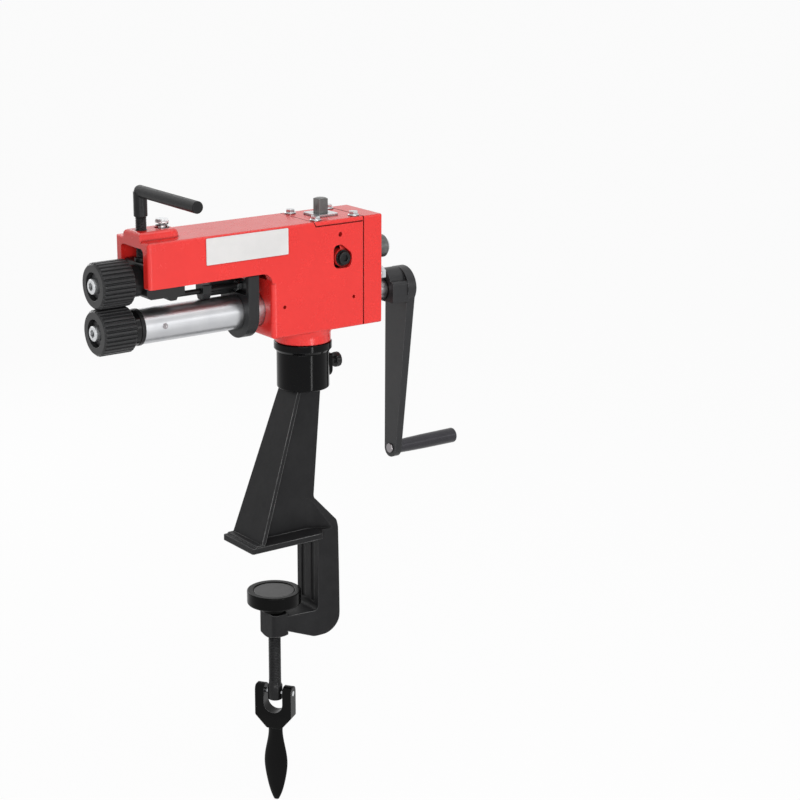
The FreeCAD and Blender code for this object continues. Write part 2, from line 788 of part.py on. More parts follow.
def handle_pin():
    """Riveted pin through the fork and the screw's eye."""
    return turned_about_screw(rod_along_x(handle_pin_radius, -fork_half_width, fork_half_width,
                                          0, handle_pin_z))


def nose_boss():
    """Drafted boss on the arm's nose that the adjusting screw and lift bolt pass through."""
    rear_x = nose_x + nose_boss_length
    levels = [(0, nose_boss_half_width, head_top_z - nose_boss_root),
              (nose_boss_draft, nose_boss_half_width - nose_boss_draft, nose_boss_top_z)]
    wires = []
    for inset, half_width, z in levels:
        corners = [(nose_x, -half_width, 0), (rear_x - inset, -half_width, 11 - inset),
                   (rear_x - inset, half_width, 11 - inset), (nose_x, half_width, 0)]
        wires.append(rounded_wire(corners, lambda u, v: Vector(u, v, z)))
    boss = Part.makeLoft(wires, True, True)
    top_edges = [edge for edge in boss.Edges
                 if all(abs(end.Z - nose_boss_top_z) < 0.01 for end in edge.Vertexes)]
    return boss.makeFillet(nose_boss_rounding, top_edges)


def upright_corner_cuts(edge_x, radius, low_z, high_z):
    """Rounds the two upright front edges of the head at one station between two levels."""
    cuts = []
    for side in (-1, 1):
        edge_y = side * head_half_width
        corner = block(edge_x - 1, edge_x + radius,
                       min(edge_y + side, edge_y - side * radius),
                       max(edge_y + side, edge_y - side * radius), low_z, high_z)
        keep = rod_along_z(radius, low_z - 1, high_z + 1, edge_x + radius,
                           edge_y - side * radius)
        cuts.append(corner.cut(keep))
    return cuts


def pivot_recess(side):
    """Pear-shaped recess round a pivot bolt's head, open to the chamber beside its boss."""
    reach = pivot_recess_reach
    outline = [(pivot_x - reach, upper_axis_z - pivot_recess_below, 7),
               (pivot_x - reach, upper_axis_z + pivot_recess_above, 6),
               (pivot_x - reach / 4, upper_axis_z + pivot_recess_above, 5),
               (pivot_x + pivot_recess_lead, upper_axis_z + pivot_recess_below / 2, 6),
               (pivot_x + pivot_recess_lead, upper_axis_z - pivot_recess_below, 7)]
    outside = side * (head_half_width + 1)
    floor = side * (head_half_width - pivot_recess_depth)
    inside = side * (head_half_width - housing_wall - 1)
    recess = plate_xz(outline, min(floor, outside), max(floor, outside))
    window = plate_xz(outline, min(inside, outside), max(inside, outside))
    boss = rod_along_y(pivot_boss_radius, -head_half_width, head_half_width, pivot_x,
                       upper_axis_z)
    kept = block(pivot_x - pivot_window_lead, pivot_x + reach, -head_half_width,
                 head_half_width, upper_axis_z - reach, upper_axis_z + 2 * reach)
    return [recess, window.cut([boss, kept])]


def head_section(front_x, rear_x, inset=0):
    """Bar with the head's rounded cross-section that casting, lid and cover share."""
    half = head_half_width - inset
    low = housing_bottom_z + inset
    high = head_top_z - inset
    return plate_yz([(-half, low, head_bottom_rounding), (half, low, head_bottom_rounding),
                     (half, high, head_top_rounding), (-half, high, head_top_rounding)],
                    front_x, rear_x)


def head_casting():
    """Arm, gear housing and neck in one casting, open along the arm's underside."""
    half = head_half_width
    profile = [(nose_x, arm_bottom_z, nose_rounding / 2),
               (housing_front_x, arm_bottom_z, arm_fillet),
               (housing_front_x, housing_bottom_z, 4), (casting_rear_x, housing_bottom_z, 0),
               (casting_rear_x, lid_seat_z, 0), (lid_front_x + lid_lead_slope, lid_seat_z, 0),
               (lid_front_x, head_top_z, 0), (nose_x, head_top_z, nose_rounding)]
    body = plate_xz(profile, -half, half).common(head_section(nose_x, casting_rear_x))
    corners = upright_corner_cuts(housing_front_x, housing_corner_radius,
                                  housing_bottom_z - 1, arm_bottom_z - arm_fillet)
    corners += upright_corner_cuts(nose_x, nose_corner_radius, arm_bottom_z - 1, head_top_z + 1)
    body = body.cut(corners)
    flare_top_z = housing_bottom_z + head_bottom_rounding
    neck = turned_z([(neck_bottom_z, 0, 0), (neck_bottom_z, neck_radius, 0.8),
                     (housing_bottom_z - neck_flare, neck_radius, neck_flare_rounding),
                     (flare_top_z, head_half_width - running_clearance, 0),
                     (flare_top_z, 0, 0)], swivel_x)
    body = union([body, neck, nose_boss()])
    inner = half - arm_wall
    channel = plate_yz([(-inner, arm_bottom_z - 2, 0), (inner, arm_bottom_z - 2, 0),
                        (inner, channel_roof_z, channel_corner_radius),
                        (-inner, channel_roof_z, channel_corner_radius)],
                       nose_x - 1, housing_front_x)
    passage_floor_z = upper_axis_z - shaft_passage_depth
    passage = plate_yz([(-inner, passage_floor_z, 3), (inner, passage_floor_z, 3),
                        (inner, chamber_roof_z, channel_corner_radius),
                        (-inner, chamber_roof_z, channel_corner_radius)],
                       housing_front_x - arm_fillet - 1, chamber_front_x + 1)
    wide = half - housing_wall
    chamber_floor_z = housing_bottom_z + chamber_floor
    chamber = plate_yz([(-wide, chamber_floor_z, 6), (wide, chamber_floor_z, 6),
                        (wide, chamber_roof_z, 6), (-wide, chamber_roof_z, 6)],
                       chamber_front_x, chamber_rear_x)
    rear_opening = plate_yz([(-wide, rear_wall_top_z, 3), (wide, rear_wall_top_z, 3),
                             (wide, chamber_roof_z, 6), (-wide, chamber_roof_z, 6)],
                            chamber_rear_x - 1, casting_rear_x + 1)
    gear_reach = shaft_spacing / 2 + gear_module + 0.8
    gear_pocket = rod_along_x(gear_reach, gear_front_x - 1, gear_front_x + gear_width + 1,
                              0, lower_axis_z)
    tube_bore = rod_along_x(tube_radius + fit_clearance, housing_front_x - 1, tube_rear_x,
                            0, lower_axis_z)
    shaft_bore = rod_along_x(tube_radius - tube_wall, tube_rear_x - 1, chamber_front_x + 1,
                             0, lower_axis_z)
    bush_bore = rod_along_x(rear_bush_radius + fit_clearance, chamber_rear_x - 1,
                            casting_rear_x + 1, 0, lower_axis_z)
    post_bore = rod_along_z(post_radius + fit_clearance, neck_bottom_z - 1,
                            neck_bottom_z + post_seat_depth, swivel_x, 0)
    body = body.cut([channel, passage, chamber, rear_opening, gear_pocket, tube_bore, shaft_bore,
                     bush_bore, post_bore])
    bosses = []
    for side in (-1, 1):
        near = side * (rear_block_half_width + slide_clearance)
        far = side * (wide + 1)
        bosses.append(rod_along_y(pivot_boss_radius, min(near, far), max(near, far),
                                  pivot_x, upper_axis_z))
    body = union([body] + bosses)
    return body.cut(head_holes())


def head_holes():
    """Bores for the adjusting screw, lift bolt, pivot bolts, set screws and top fasteners."""
    half = head_half_width
    holes = [rod_along_z(adjuster_radius + running_clearance, channel_roof_z - 1,
                         nose_boss_top_z + 1, adjuster_x, 0),
             rod_along_z(lift_bolt_radius + 1.8, channel_roof_z - 1, nose_boss_top_z + 1,
                         lift_bolt_x, 0),
             rod_along_z(spring_mean_radius + spring_wire_radius + 1.0, spring_seat_z,
                         nose_boss_top_z + 1, lift_bolt_x, 0),
             rod_along_z(square_shank_radius + fit_clearance, chamber_roof_z - 1, lid_seat_z + 1,
                         square_head_x, 0),
             rod_along_y(set_screw_radius + fit_clearance, -half - 1, 0,
                         housing_front_x + tube_set_screw_from_front, set_screw_z),
             rod_along_y(set_screw_radius + fit_clearance, -half - 1, 0,
                         casting_rear_x - bush_set_screw_from_rear, set_screw_z),
             rod_along_y(side_hole_radius, -half - 1, -half + side_hole_depth,
                         pivot_x - 6, upper_axis_z + 27.5)]
    for side in (-1, 1):
        holes += pivot_recess(side)
        holes.append(rod_along_y(pivot_bolt_radius + fit_clearance,
                                 min(0, side * half), max(0, side * half), pivot_x, upper_axis_z))
        holes.append(rod_along_x(cover_bolt_radius + fit_clearance,
                                 cover_rear_x - cover_bolt_length - 1, casting_rear_x + 1,
                                 side * cover_bolt_spacing / 2, cover_bolt_z))
    for x, y in lid_bolt_places():
        holes.append(rod_along_z(lid_bolt_radius + fit_clearance,
                                 head_top_z - lid_bolt_length - 0.5, lid_seat_z + 1, x, y))
    return holes


def swivel_post():
    """Steel spigot fixed in the neck, with the groove that the lock screw enters."""
    bottom = column_top_z + socket_floor + face_gap
    top = neck_bottom_z + post_seat_depth
    lock_z = column_top_z + lock_screw_height
    floor_radius = post_radius - post_groove_depth
    half_groove = lock_screw_radius + 0.5
    return turned_z([(bottom, 0, 0), (bottom, post_radius, 1.5),
                     (lock_z - half_groove - post_groove_depth, post_radius, 0),
                     (lock_z - half_groove, floor_radius, 0),
                     (lock_z + half_groove, floor_radius, 0),
                     (lock_z + half_groove + post_groove_depth, post_radius, 0),
                     (top, post_radius, 0), (top, 0, 0)], swivel_x)


def lid_bolt_places():
    """Centres of the four bolts in the lid's corners."""
    places = []
    for x in (lid_front_x + lid_bolt_front_inset, casting_rear_x - lid_bolt_rear_inset):
        for side in (-1, 1):
            places.append((x, side * lid_bolt_spread / 2))
    return places


def top_lid():
    """Plate let into the housing's top, slanted in front and relieved along its lower edges."""
    lead_x = lid_front_x + lid_lead_gap
    lid = plate_xz([(lead_x + lid_lead_slope, lid_seat_z, 0), (casting_rear_x, lid_seat_z, 0),
                    (casting_rear_x, head_top_z, 0), (lead_x, head_top_z, 0)],
                   -head_half_width, head_half_width)
    lid = lid.common(head_section(lid_front_x - 1, casting_rear_x))
    holes = [rod_along_z(square_shank_radius + fit_clearance, lid_seat_z - 1, head_top_z + 1,
                         square_head_x, 0)]
    for x, y in lid_bolt_places():
        holes.append(rod_along_z(lid_bolt_radius + fit_clearance, lid_seat_z - 1,
                                 head_top_z + 1, x, y))
    for side in (-1, 1):
        outside = side * (head_half_width + 1)
        inside = side * (head_half_width - joint_line_depth)
        holes.append(block(lid_front_x, casting_rear_x + 1, min(outside, inside),
                           max(outside, inside), lid_seat_z - 1, lid_seat_z + joint_line_width))
    return lid.cut(holes)


def lid_bolts():
    """Four zinc flange bolts that hold the lid."""
    bolts = []
    for x, y in lid_bolt_places():
        bolts.append(flange_bolt(lid_bolt_across, lid_bolt_flange_radius, lid_bolt_height,
                                 lid_bolt_radius, lid_bolt_length, Vector(x, y, head_top_z),
                                 Vector(0, 0, 1)))
    return Part.makeCompound(bolts)


def rear_cover():
    """Thick rear cover with a relieved joint line and one wide bore round each shaft."""
    joint_x = casting_rear_x + joint_line_width
    cover = union([head_section(casting_rear_x, joint_x, joint_line_depth),
                   head_section(joint_x, cover_rear_x)])
    holes = []
    for axis_z in (lower_axis_z, upper_axis_z):
        holes.append(rod_along_x(cover_bore_radius, casting_rear_x - 1, cover_rear_x + 1,
                                 0, axis_z))
    for side in (-1, 1):
        holes.append(rod_along_x(cover_bolt_radius + fit_clearance, casting_rear_x - 1,
                                 cover_rear_x + 1, side * cover_bolt_spacing / 2, cover_bolt_z))
    return cover.cut(holes)


def rear_cover_bolts():
    """Two zinc flange bolts, one each side between the shafts."""
    bolts = []
    for side in (-1, 1):
        seat = Vector(cover_rear_x, side * cover_bolt_spacing / 2, cover_bolt_z)
        bolts.append(flange_bolt(cover_bolt_across, cover_bolt_flange_radius,
                                 cover_bolt_height, cover_bolt_radius, cover_bolt_length,
                                 seat, Vector(1, 0, 0)))
    return Part.makeCompound(bolts)


def adjuster_plate():
    """Square zinc plate that the square-headed adjuster passes through."""
    half = adjuster_plate_width / 2
    plate_body = plate_xy([(square_head_x - half, -half, 3), (square_head_x + half, -half, 3),
                           (square_head_x + half, half, 3), (square_head_x - half, half, 3)],
                          head_top_z, head_top_z + adjuster_plate_thickness)
    return plate_body.cut(rod_along_z(square_shank_radius + fit_clearance, head_top_z - 1,
                                      head_top_z + adjuster_plate_thickness + 1,
                                      square_head_x, 0))


def square_head_adjuster():
    """Square-headed screw through the lid, standing just above the rear bearing block."""
    half = square_head_width / 2
    tip_z = upper_axis_z + rear_block_half_height + 2 * face_gap
    seat_z = head_top_z + adjuster_plate_thickness
    top_z = head_top_z + square_head_height
    head = plate_xy([(square_head_x - half, -half, 0.8), (square_head_x + half, -half, 0.8),
                     (square_head_x + half, half, 0.8), (square_head_x - half, half, 0.8)],
                    seat_z, top_z)
    crown = turned_z([(seat_z, 0, 0), (seat_z, half * 1.5, 0), (top_z - 1.2, half * 1.5, 0),
                      (top_z, half * 0.95, 0), (top_z, 0, 0)], square_head_x)
    shank = rod_along_z(square_shank_radius - 0.05, tip_z, seat_z, square_head_x, 0)
    return union([head.common(crown), shank])


def pivot_bolts():
    """Two washered cap screws in the side recesses whose tips carry the rear block."""
    floor_y = head_half_width - pivot_recess_depth
    seat_y = floor_y + pivot_washer_thickness
    length = seat_y - (rear_block_half_width - pivot_socket_depth)
    bolts = []
    for side in (-1, 1):
        seat = Vector(pivot_x, side * seat_y, upper_axis_z)
        screw = cap_screw(pivot_head_radius, pivot_head_length, pivot_bolt_radius, length,
                          seat, Vector(0, side, 0))
        washer = rod_along_y(pivot_washer_radius, min(side * floor_y, side * seat_y),
                             max(side * floor_y, side * seat_y), pivot_x, upper_axis_z)
        bolts.append(union([screw, washer]))
    return Part.makeCompound(bolts)


def housing_set_screws():
    """Sunk set screws that hold the support tube and the rear bush."""
    screws = []
    for x, radius in ((housing_front_x + tube_set_screw_from_front, tube_radius),
                      (casting_rear_x - bush_set_screw_from_rear, rear_bush_radius)):
        chord = set_screw_above_axis - set_screw_radius
        reach = math.sqrt(radius ** 2 - chord ** 2) + fit_clearance
        tip = Vector(x, -reach, set_screw_z)
        end = Vector(x, -head_half_width + set_screw_sink, set_screw_z)
        screws.append(set_screw(set_screw_radius, tip, end))
    return Part.makeCompound(screws)


def support_tube():
    """Polished steel tube that houses the lower shaft."""
    inner = tube_radius - tube_wall
    return turned_x([(tube_front_x, inner, 0), (tube_front_x, tube_radius, 0),
                     (tube_rear_x, tube_radius, 0), (tube_rear_x, inner, 0)], lower_axis_z)


def tube_front_bush():
    """Flanged black bush in the tube's mouth that the lower shaft turns in."""
    inner = shaft_radius + running_clearance
    return turned_x([(bush_front_x, inner, 0), (bush_front_x, bush_flange_radius, 0.8),
                     (tube_front_x, bush_flange_radius, 0.5),
                     (tube_front_x, tube_radius - tube_wall - fit_clearance, 0),
                     (tube_front_x + bush_spigot_length,
                      tube_radius - tube_wall - fit_clearance, 0),
                     (tube_front_x + bush_spigot_length, inner, 0)], lower_axis_z)


def lower_thrust_collar():
    """Steel collar on the lower shaft between its shoulder and the tube's bush."""
    inner = shaft_radius + fit_clearance
    rear_x = bush_front_x - face_gap
    return turned_x([(lower_shoulder_x, inner, 0), (lower_shoulder_x, thrust_collar_radius, 0.8),
                     (rear_x, thrust_collar_radius, 0.8), (rear_x, inner, 0)], lower_axis_z)


def lower_rear_bush():
    """Bronze bush for the lower shaft in the housing's rear wall."""
    inner = shaft_radius + running_clearance
    return turned_x([(chamber_rear_x, inner, 0), (chamber_rear_x, rear_bush_radius, 0),
                     (casting_rear_x - 1.0, rear_bush_radius, 0),
                     (casting_rear_x - 1.0, inner, 0)], lower_axis_z)


def fluted_roller(axis_z):
    """Roller with straight V flutes that run out in its lead, and a recess for its screw."""
    outline = []
    pitch = 2 * math.pi / flute_count
    half_flute = pitch * flute_share / 2
    half_floor = pitch * flute_floor_share / 2
    floor_radius = roller_radius - flute_depth
    for step in range(flute_count):
        middle = pitch * step
        reach = [(roller_radius, middle - half_flute), (floor_radius, middle - half_floor),
                 (floor_radius, middle + half_floor), (roller_radius, middle + half_flute),
                 (roller_radius, middle + pitch - half_flute)]
        points = [Vector(roller_front_x, r * math.cos(a), axis_z + r * math.sin(a))
                  for r, a in reach]
        for start, end in zip(points, points[1:]):
            outline.append(Part.LineSegment(start, end).toShape())
    fluted = Part.Face(Part.Wire(outline)).extrude(Vector(roller_width, 0, 0))
    face_radius = floor_radius - roller_lead_drop
    lead_slope = roller_lead_width / (roller_radius - face_radius)
    outer = roller_radius + 1
    lead_x = roller_front_x + lead_slope * (outer - face_radius)
    envelope = turned_x([(roller_front_x, 0, 0), (roller_front_x, face_radius, 0),
                         (lead_x, outer, 0), (roller_rear_x - roller_rear_chamfer, outer, 0),
                         (roller_rear_x - roller_rear_chamfer, roller_radius, 0),
                         (roller_rear_x, roller_radius - roller_rear_chamfer, 0),
                         (roller_rear_x, 0, 0)], axis_z)
    body = fluted.common(envelope)
    recess = rod_along_x(roller_recess_radius, roller_front_x - 1, roller_floor_x, 0, axis_z)
    bore = rod_along_x(shaft_radius + fit_clearance, roller_floor_x - 1, roller_rear_x + 1,
                       0, axis_z)
    keyway = block(roller_floor_x - 1, roller_rear_x + 1, -key_width / 2, key_width / 2,
                   axis_z, axis_z + shaft_radius + key_depth)
    return body.cut([recess, bore, keyway])


def end_washer(axis_z):
    """Washer on the floor of a roller's recess."""
    inner = end_screw_radius + fit_clearance
    front = roller_floor_x - end_washer_thickness
    return turned_x([(front, inner, 0), (front, end_washer_radius, 0),
                     (roller_floor_x, end_washer_radius, 0), (roller_floor_x, inner, 0)], axis_z)


def roller_screw(axis_z):
    """Cap screw that draws a roller onto its shaft."""
    seat = Vector(roller_floor_x - end_washer_thickness, 0, axis_z)
    return cap_screw(end_screw_head_radius, end_screw_head_length, end_screw_radius,
                     end_screw_length, seat, Vector(-1, 0, 0))


def shaft_blank(front_shoulder_x, rear_x, axis_z):
    """Plain shaft with a shoulder behind the roller and a tapped hole in each end."""
    body = turned_x([(shaft_front_x, 0, 0), (shaft_front_x, shaft_radius, 0.8),
                     (roller_rear_x, shaft_radius, 0), (roller_rear_x, shoulder_radius, 0),
                     (front_shoulder_x, shoulder_radius, 0), (front_shoulder_x, shaft_radius, 0),
                     (rear_x, shaft_radius, 0.8), (rear_x, 0, 0)], axis_z)
    bore = end_screw_radius + fit_clearance
    front_hole = rod_along_x(bore, shaft_front_x - 1, shaft_front_x + end_screw_length,
                             0, axis_z)
    rear_hole = rod_along_x(bore, rear_x - end_screw_length, rear_x + 1, 0, axis_z)
    return body.cut([front_hole, rear_hole])


def key_seats(axis_z, gear_up):
    """Keys of one shaft: one in its roller, one in its gear."""
    roller_key_x = roller_rear_x - 3 - roller_key_length
    gear_key_x = gear_front_x + (gear_width - gear_key_length) / 2
    return [key(roller_key_x, roller_key_length, axis_z, 1),
            key(gear_key_x, gear_key_length, axis_z, gear_up)]


def lower_shaft():
    """Shaft from the lower roller through the tube and gear chamber to the crank."""
    rear_x = crank_boss_front_x + crank_bore_depth - face_gap
    shaft = shaft_blank(lower_shoulder_x, rear_x, lower_axis_z)
    return shaft.cut(key_seats(lower_axis_z, -1))


def upper_shaft():
    """Shaft from the upper roller through the tilting bearings to its end screw."""
    rear_x = upper_sleeve_rear_x - face_gap
    shaft = shaft_blank(front_block_x - bush_head_length - face_gap, rear_x, upper_axis_z)
    return shaft.cut(key_seats(upper_axis_z, 1))


def lower_keys():
    return Part.makeCompound(key_seats(lower_axis_z, -1))


def upper_keys():
    return Part.makeCompound(key_seats(upper_axis_z, 1))


def spur_gear(axis_z, first_tooth_deg, keyway_up):
    """Involute spur gear, its first tooth at the stated angle about the axis."""
    pitch_radius = shaft_spacing / 2
    pressure = math.radians(gear_pressure_angle_deg)
    base_radius = pitch_radius * math.cos(pressure)
    tip_radius = pitch_radius + gear_module
    root_radius = pitch_radius - 1.25 * gear_module
    half_tooth = (math.pi * gear_module / 2 - gear_backlash / 2) / (2 * pitch_radius)

    def half_angle(radius):
        flank = math.acos(min(1.0, base_radius / radius))
        return half_tooth + (math.tan(pressure) - pressure) - (math.tan(flank) - flank)

    def spot(radius, angle):
        return Vector(gear_front_x, radius * math.cos(angle), axis_z + radius * math.sin(angle))

    edges = []
    pitch = 2 * math.pi / gear_teeth
    for tooth in range(gear_teeth):
        middle = math.radians(first_tooth_deg) + tooth * pitch
        rise = [spot(r, middle - half_angle(r)) for r in (base_radius, pitch_radius, tip_radius)]
        fall = [spot(r, middle + half_angle(r)) for r in (tip_radius, pitch_radius, base_radius)]
        root_in = spot(root_radius, middle - half_angle(base_radius))
        root_out = spot(root_radius, middle + half_angle(base_radius))
        next_root = spot(root_radius, middle + pitch - half_angle(base_radius))
        edges.append(Part.LineSegment(root_in, rise[0]).toShape())
        edges.append(Part.Arc(*rise).toShape())
        edges.append(Part.LineSegment(rise[2], fall[0]).toShape())
        edges.append(Part.Arc(*fall).toShape())
        edges.append(Part.LineSegment(fall[2], root_out).toShape())
        edges.append(Part.LineSegment(root_out, next_root).toShape())
    blank = Part.Face(Part.Wire(edges)).extrude(Vector(gear_width, 0, 0))
    bore = rod_along_x(shaft_radius + fit_clearance, gear_front_x - 1,
                       gear_front_x + gear_width + 1, 0, axis_z)
    keyway_far = axis_z + keyway_up * (shaft_radius + key_depth)
    keyway = block(gear_front_x - 1, gear_front_x + gear_width + 1, -key_width / 2,
                   key_width / 2, min(axis_z, keyway_far), max(axis_z, keyway_far))
    return blank.cut([bore, keyway])


def flanged_sleeve(front_x, rear_x, axis_z):
    """Sleeve on a shaft's rear end with a flange that fills the cover's bore."""
    inner = shaft_radius + fit_clearance
    return turned_x([(front_x, inner, 0), (front_x, rear_sleeve_radius, 0),
                     (flange_x, rear_sleeve_radius, 0), (flange_x, rear_sleeve_flange_radius, 0),
                     (flange_x + rear_sleeve_flange_length, rear_sleeve_flange_radius, 1),
                     (flange_x + rear_sleeve_flange_length, rear_sleeve_radius, 3),
                     (rear_x, rear_sleeve_radius, 1), (rear_x, inner, 0)], axis_z)


def upper_end_screw():
    """Cap screw in the rear end of the upper shaft."""
    seat = Vector(upper_sleeve_rear_x, 0, upper_axis_z)
    washer_radius = rear_sleeve_radius - 2.0
    washer = rod_along_x(washer_radius, upper_sleeve_rear_x, upper_sleeve_rear_x + 1.5,
                         0, upper_axis_z)
    screw = cap_screw(end_screw_head_radius, end_screw_head_length * 0.6, end_screw_radius,
                      end_screw_length - 2, seat, Vector(1, 0, 0))
    return union([washer.cut(screw), screw])


def crank_arm():
    """Forged crank: boss with flat flanks under a round cap, and a tapering leaning arm."""
    root = crank_root_half_width
    tip = crank_tip_radius
    top_z = lower_axis_z
    tip_z = grip_z
    front = plate_yz([(-root, top_z, 0), (root, top_z, 0), (tip, tip_z - tip, tip - 0.01),
                      (-tip, tip_z - tip, tip - 0.01)],
                     crank_tip_front_x - 5, crank_face_x + 1)
    head = rod_along_x(crank_boss_radius, crank_tip_front_x - 5, crank_face_x + 1, 0,
                       lower_axis_z)
    front = union([front, head])
    arm_top_z = lower_axis_z + crank_boss_radius + 1
    tip_rear_x = crank_tip_front_x + crank_tip_thickness
    side = plate_xz([(crank_arm_front_x, arm_top_z, 0), (crank_arm_front_x, top_z, 0),
                     (crank_tip_front_x, tip_z - tip - 1, 0), (tip_rear_x, tip_z - tip - 1, 0),
                     (crank_face_x, top_z, 60), (crank_face_x, arm_top_z, 2)],
                    -crank_boss_radius - 1, crank_boss_radius + 1)
    arm = front.common(side)
    flank = crank_boss_half_width
    bottom_z = lower_axis_z - crank_boss_bottom
    shelf_z = lower_axis_z + crank_boss_shelf
    boss = plate_yz([(-flank, bottom_z, 1), (flank, bottom_z, 1),
                     (flank, shelf_z, crank_boss_shelf_rounding),
                     (-flank, shelf_z, crank_boss_shelf_rounding)],
                    crank_boss_front_x, crank_arm_front_x + 2)
    cap = rod_along_x(crank_cap_radius, crank_boss_front_x, crank_arm_front_x + 2, 0,
                      lower_axis_z + crank_boss_radius - crank_cap_radius)
    body = union([arm, boss, cap])
    bore_end_x = crank_boss_front_x + crank_bore_depth
    set_screw_x = crank_face_x - crank_set_screw_from_face
    holes = [rod_along_x(shaft_radius + fit_clearance, crank_boss_front_x - 1, bore_end_x, 0,
                         lower_axis_z),
             rod_along_x(end_screw_radius + fit_clearance, bore_end_x - 1, crank_face_x + 1, 0,
                         lower_axis_z),
             rod_along_x(crank_screw_recess_radius, crank_head_seat_x, crank_face_x + 1, 0,
                         lower_axis_z),
             rod_along_y(lid_bolt_radius + fit_clearance, 0, crank_boss_radius + 1, set_screw_x,
                         lower_axis_z),
             rod_along_x(grip_axle_radius + fit_clearance, crank_tip_front_x - 1,
                         crank_face_x, 0, grip_z)]
    return body.cut(holes)


def crank_set_screw():
    """Hexagon screw in the side of the crank boss that bears on the shaft."""
    x = crank_face_x - crank_set_screw_from_face
    seat_y = crank_boss_half_width
    length = seat_y - shaft_radius - face_gap
    body = union([hexagon(crank_screw_across, 0, crank_screw_height),
                  Part.makeCylinder(lid_bolt_radius, length, Vector(0, 0, -length))])
    return stand_on(body, Vector(x, seat_y, lower_axis_z), Vector(0, 1, 0))


def crank_end_screw():
    """Cap screw that draws the crank onto the lower shaft."""
    seat = Vector(crank_head_seat_x, 0, lower_axis_z)
    return cap_screw(end_screw_head_radius, end_screw_head_length * 0.7, end_screw_radius,
                     end_screw_length, seat, Vector(1, 0, 0))


def grip_front_x():
    return crank_tip_front_x + crank_tip_thickness + grip_gap


def grip_axle():
    """Shouldered axle riveted in the crank's end, with a head inside the grip's recess."""
    head_x = grip_front_x() + grip_length - grip_end_recess + face_gap
    head_end = head_x + grip_end_recess - 2 * face_gap
    return turned_x([(crank_tip_front_x - 1.2, 0, 0),
                     (crank_tip_front_x - 1.2, grip_axle_radius + 0.8, 0),
                     (crank_tip_front_x, grip_axle_radius + 1.2, 0),
                     (crank_tip_front_x, grip_axle_radius, 0), (head_x, grip_axle_radius, 0),
                     (head_x, grip_root_radius - 1.6, 0), (head_end, grip_root_radius - 1.6, 0),
                     (head_end, 0, 0)], grip_z)


def crank_grip():
    """Turning grip, slim at the arm and thicker towards its free end."""
    inner = grip_axle_radius + running_clearance
    start = grip_front_x()
    end = start + grip_length
    recess_x = end - grip_end_recess
    return turned_x([(start, inner, 0), (start, grip_root_radius, 1),
                     (start + grip_length * 0.2, grip_root_radius + 0.6, 60),
                     (start + grip_length * 0.45, grip_radius, 60),
                     (end, grip_radius + 0.2, 2.0), (end, grip_root_radius - 1.0, 0),
                     (recess_x, grip_root_radius - 1.0, 0), (recess_x, inner, 0)], grip_z)


def front_bearing_block():
    """Block that slides in the arm's nose and carries the upper shaft's front bush."""
    half = head_half_width - arm_wall - slide_clearance
    lug_x = nose_x + front_lug_from_nose
    side = plate_xz([(front_block_x, front_block_bottom_z + front_block_chamfer, 0),
                     (front_block_x + front_block_chamfer, front_block_bottom_z, 2),
                     (lug_x, front_block_bottom_z, 0),
                     (lug_x + 3, front_block_bottom_z - front_lug_height, 0),
                     (lug_x + front_lug_length - 2, front_block_bottom_z - front_lug_height, 0),
                     (lug_x + front_lug_length, front_block_bottom_z, 0),
                     (front_block_rear_x, front_block_bottom_z + 1, 2),
                     (front_block_rear_x, front_block_top_z, 2),
                     (front_block_x, front_block_top_z, 2)], -half, half)
    bore = rod_along_x(bearing_bush_radius + fit_clearance, front_block_x - 1,
                       front_block_rear_x + 1, 0, upper_axis_z)
    bolt_hole = rod_along_z(lift_bolt_radius + fit_clearance, front_block_top_z - lift_bolt_grip,
                            front_block_top_z + 1, lift_bolt_x, 0)
    return side.cut([bore, bolt_hole])


def front_bearing_bush():
    """Headed bush in the front block."""
    inner = shaft_radius + running_clearance
    head_x = front_block_x - bush_head_length
    return turned_x([(head_x, inner, 0), (head_x, bush_head_radius, 0.8),
                     (front_block_x, bush_head_radius, 0), (front_block_x, bearing_bush_radius, 0),
                     (front_block_rear_x, bearing_bush_radius, 0),
                     (front_block_rear_x, inner, 0)], upper_axis_z)


def rear_bearing_block():
    """Block on the pivot bolts that carries the upper shaft's rear bush."""
    half = rear_block_half_width
    low = upper_axis_z - rear_block_half_height
    high = upper_axis_z + rear_block_half_height
    body = plate_yz([(-half, low, 5), (half, low, 5), (half, high, 5), (-half, high, 5)],
                    rear_block_front_x, rear_block_rear_x)
    holes = [rod_along_x(bearing_bush_radius + fit_clearance, rear_block_front_x - 1,
                         rear_block_rear_x + 1, 0, upper_axis_z)]
    for side in (-1, 1):
        y0 = side * (half - pivot_socket_depth - face_gap)
        y1 = side * (half + 1)
        holes.append(rod_along_y(pivot_bolt_radius + running_clearance, min(y0, y1), max(y0, y1),
                                 pivot_x, upper_axis_z))
    return body.cut(holes)


def rear_bearing_bush():
    """Plain bush in the rear bearing block."""
    inner = shaft_radius + running_clearance
    return turned_x([(rear_block_front_x, inner, 0),
                     (rear_block_front_x, bearing_bush_radius, 0),
                     (rear_block_rear_x, bearing_bush_radius, 0),
                     (rear_block_rear_x, inner, 0)], upper_axis_z)


def lift_bolt():
    """Zinc bolt through the nose boss into the front block, lifted by its spring."""
    shank = lift_head_z - front_block_top_z + lift_bolt_grip
    return flange_bolt(lift_bolt_across, lift_bolt_flange_radius, lift_bolt_height,
                       lift_bolt_radius, shank,
                       Vector(lift_bolt_x, 0, lift_head_z), Vector(0, 0, 1))


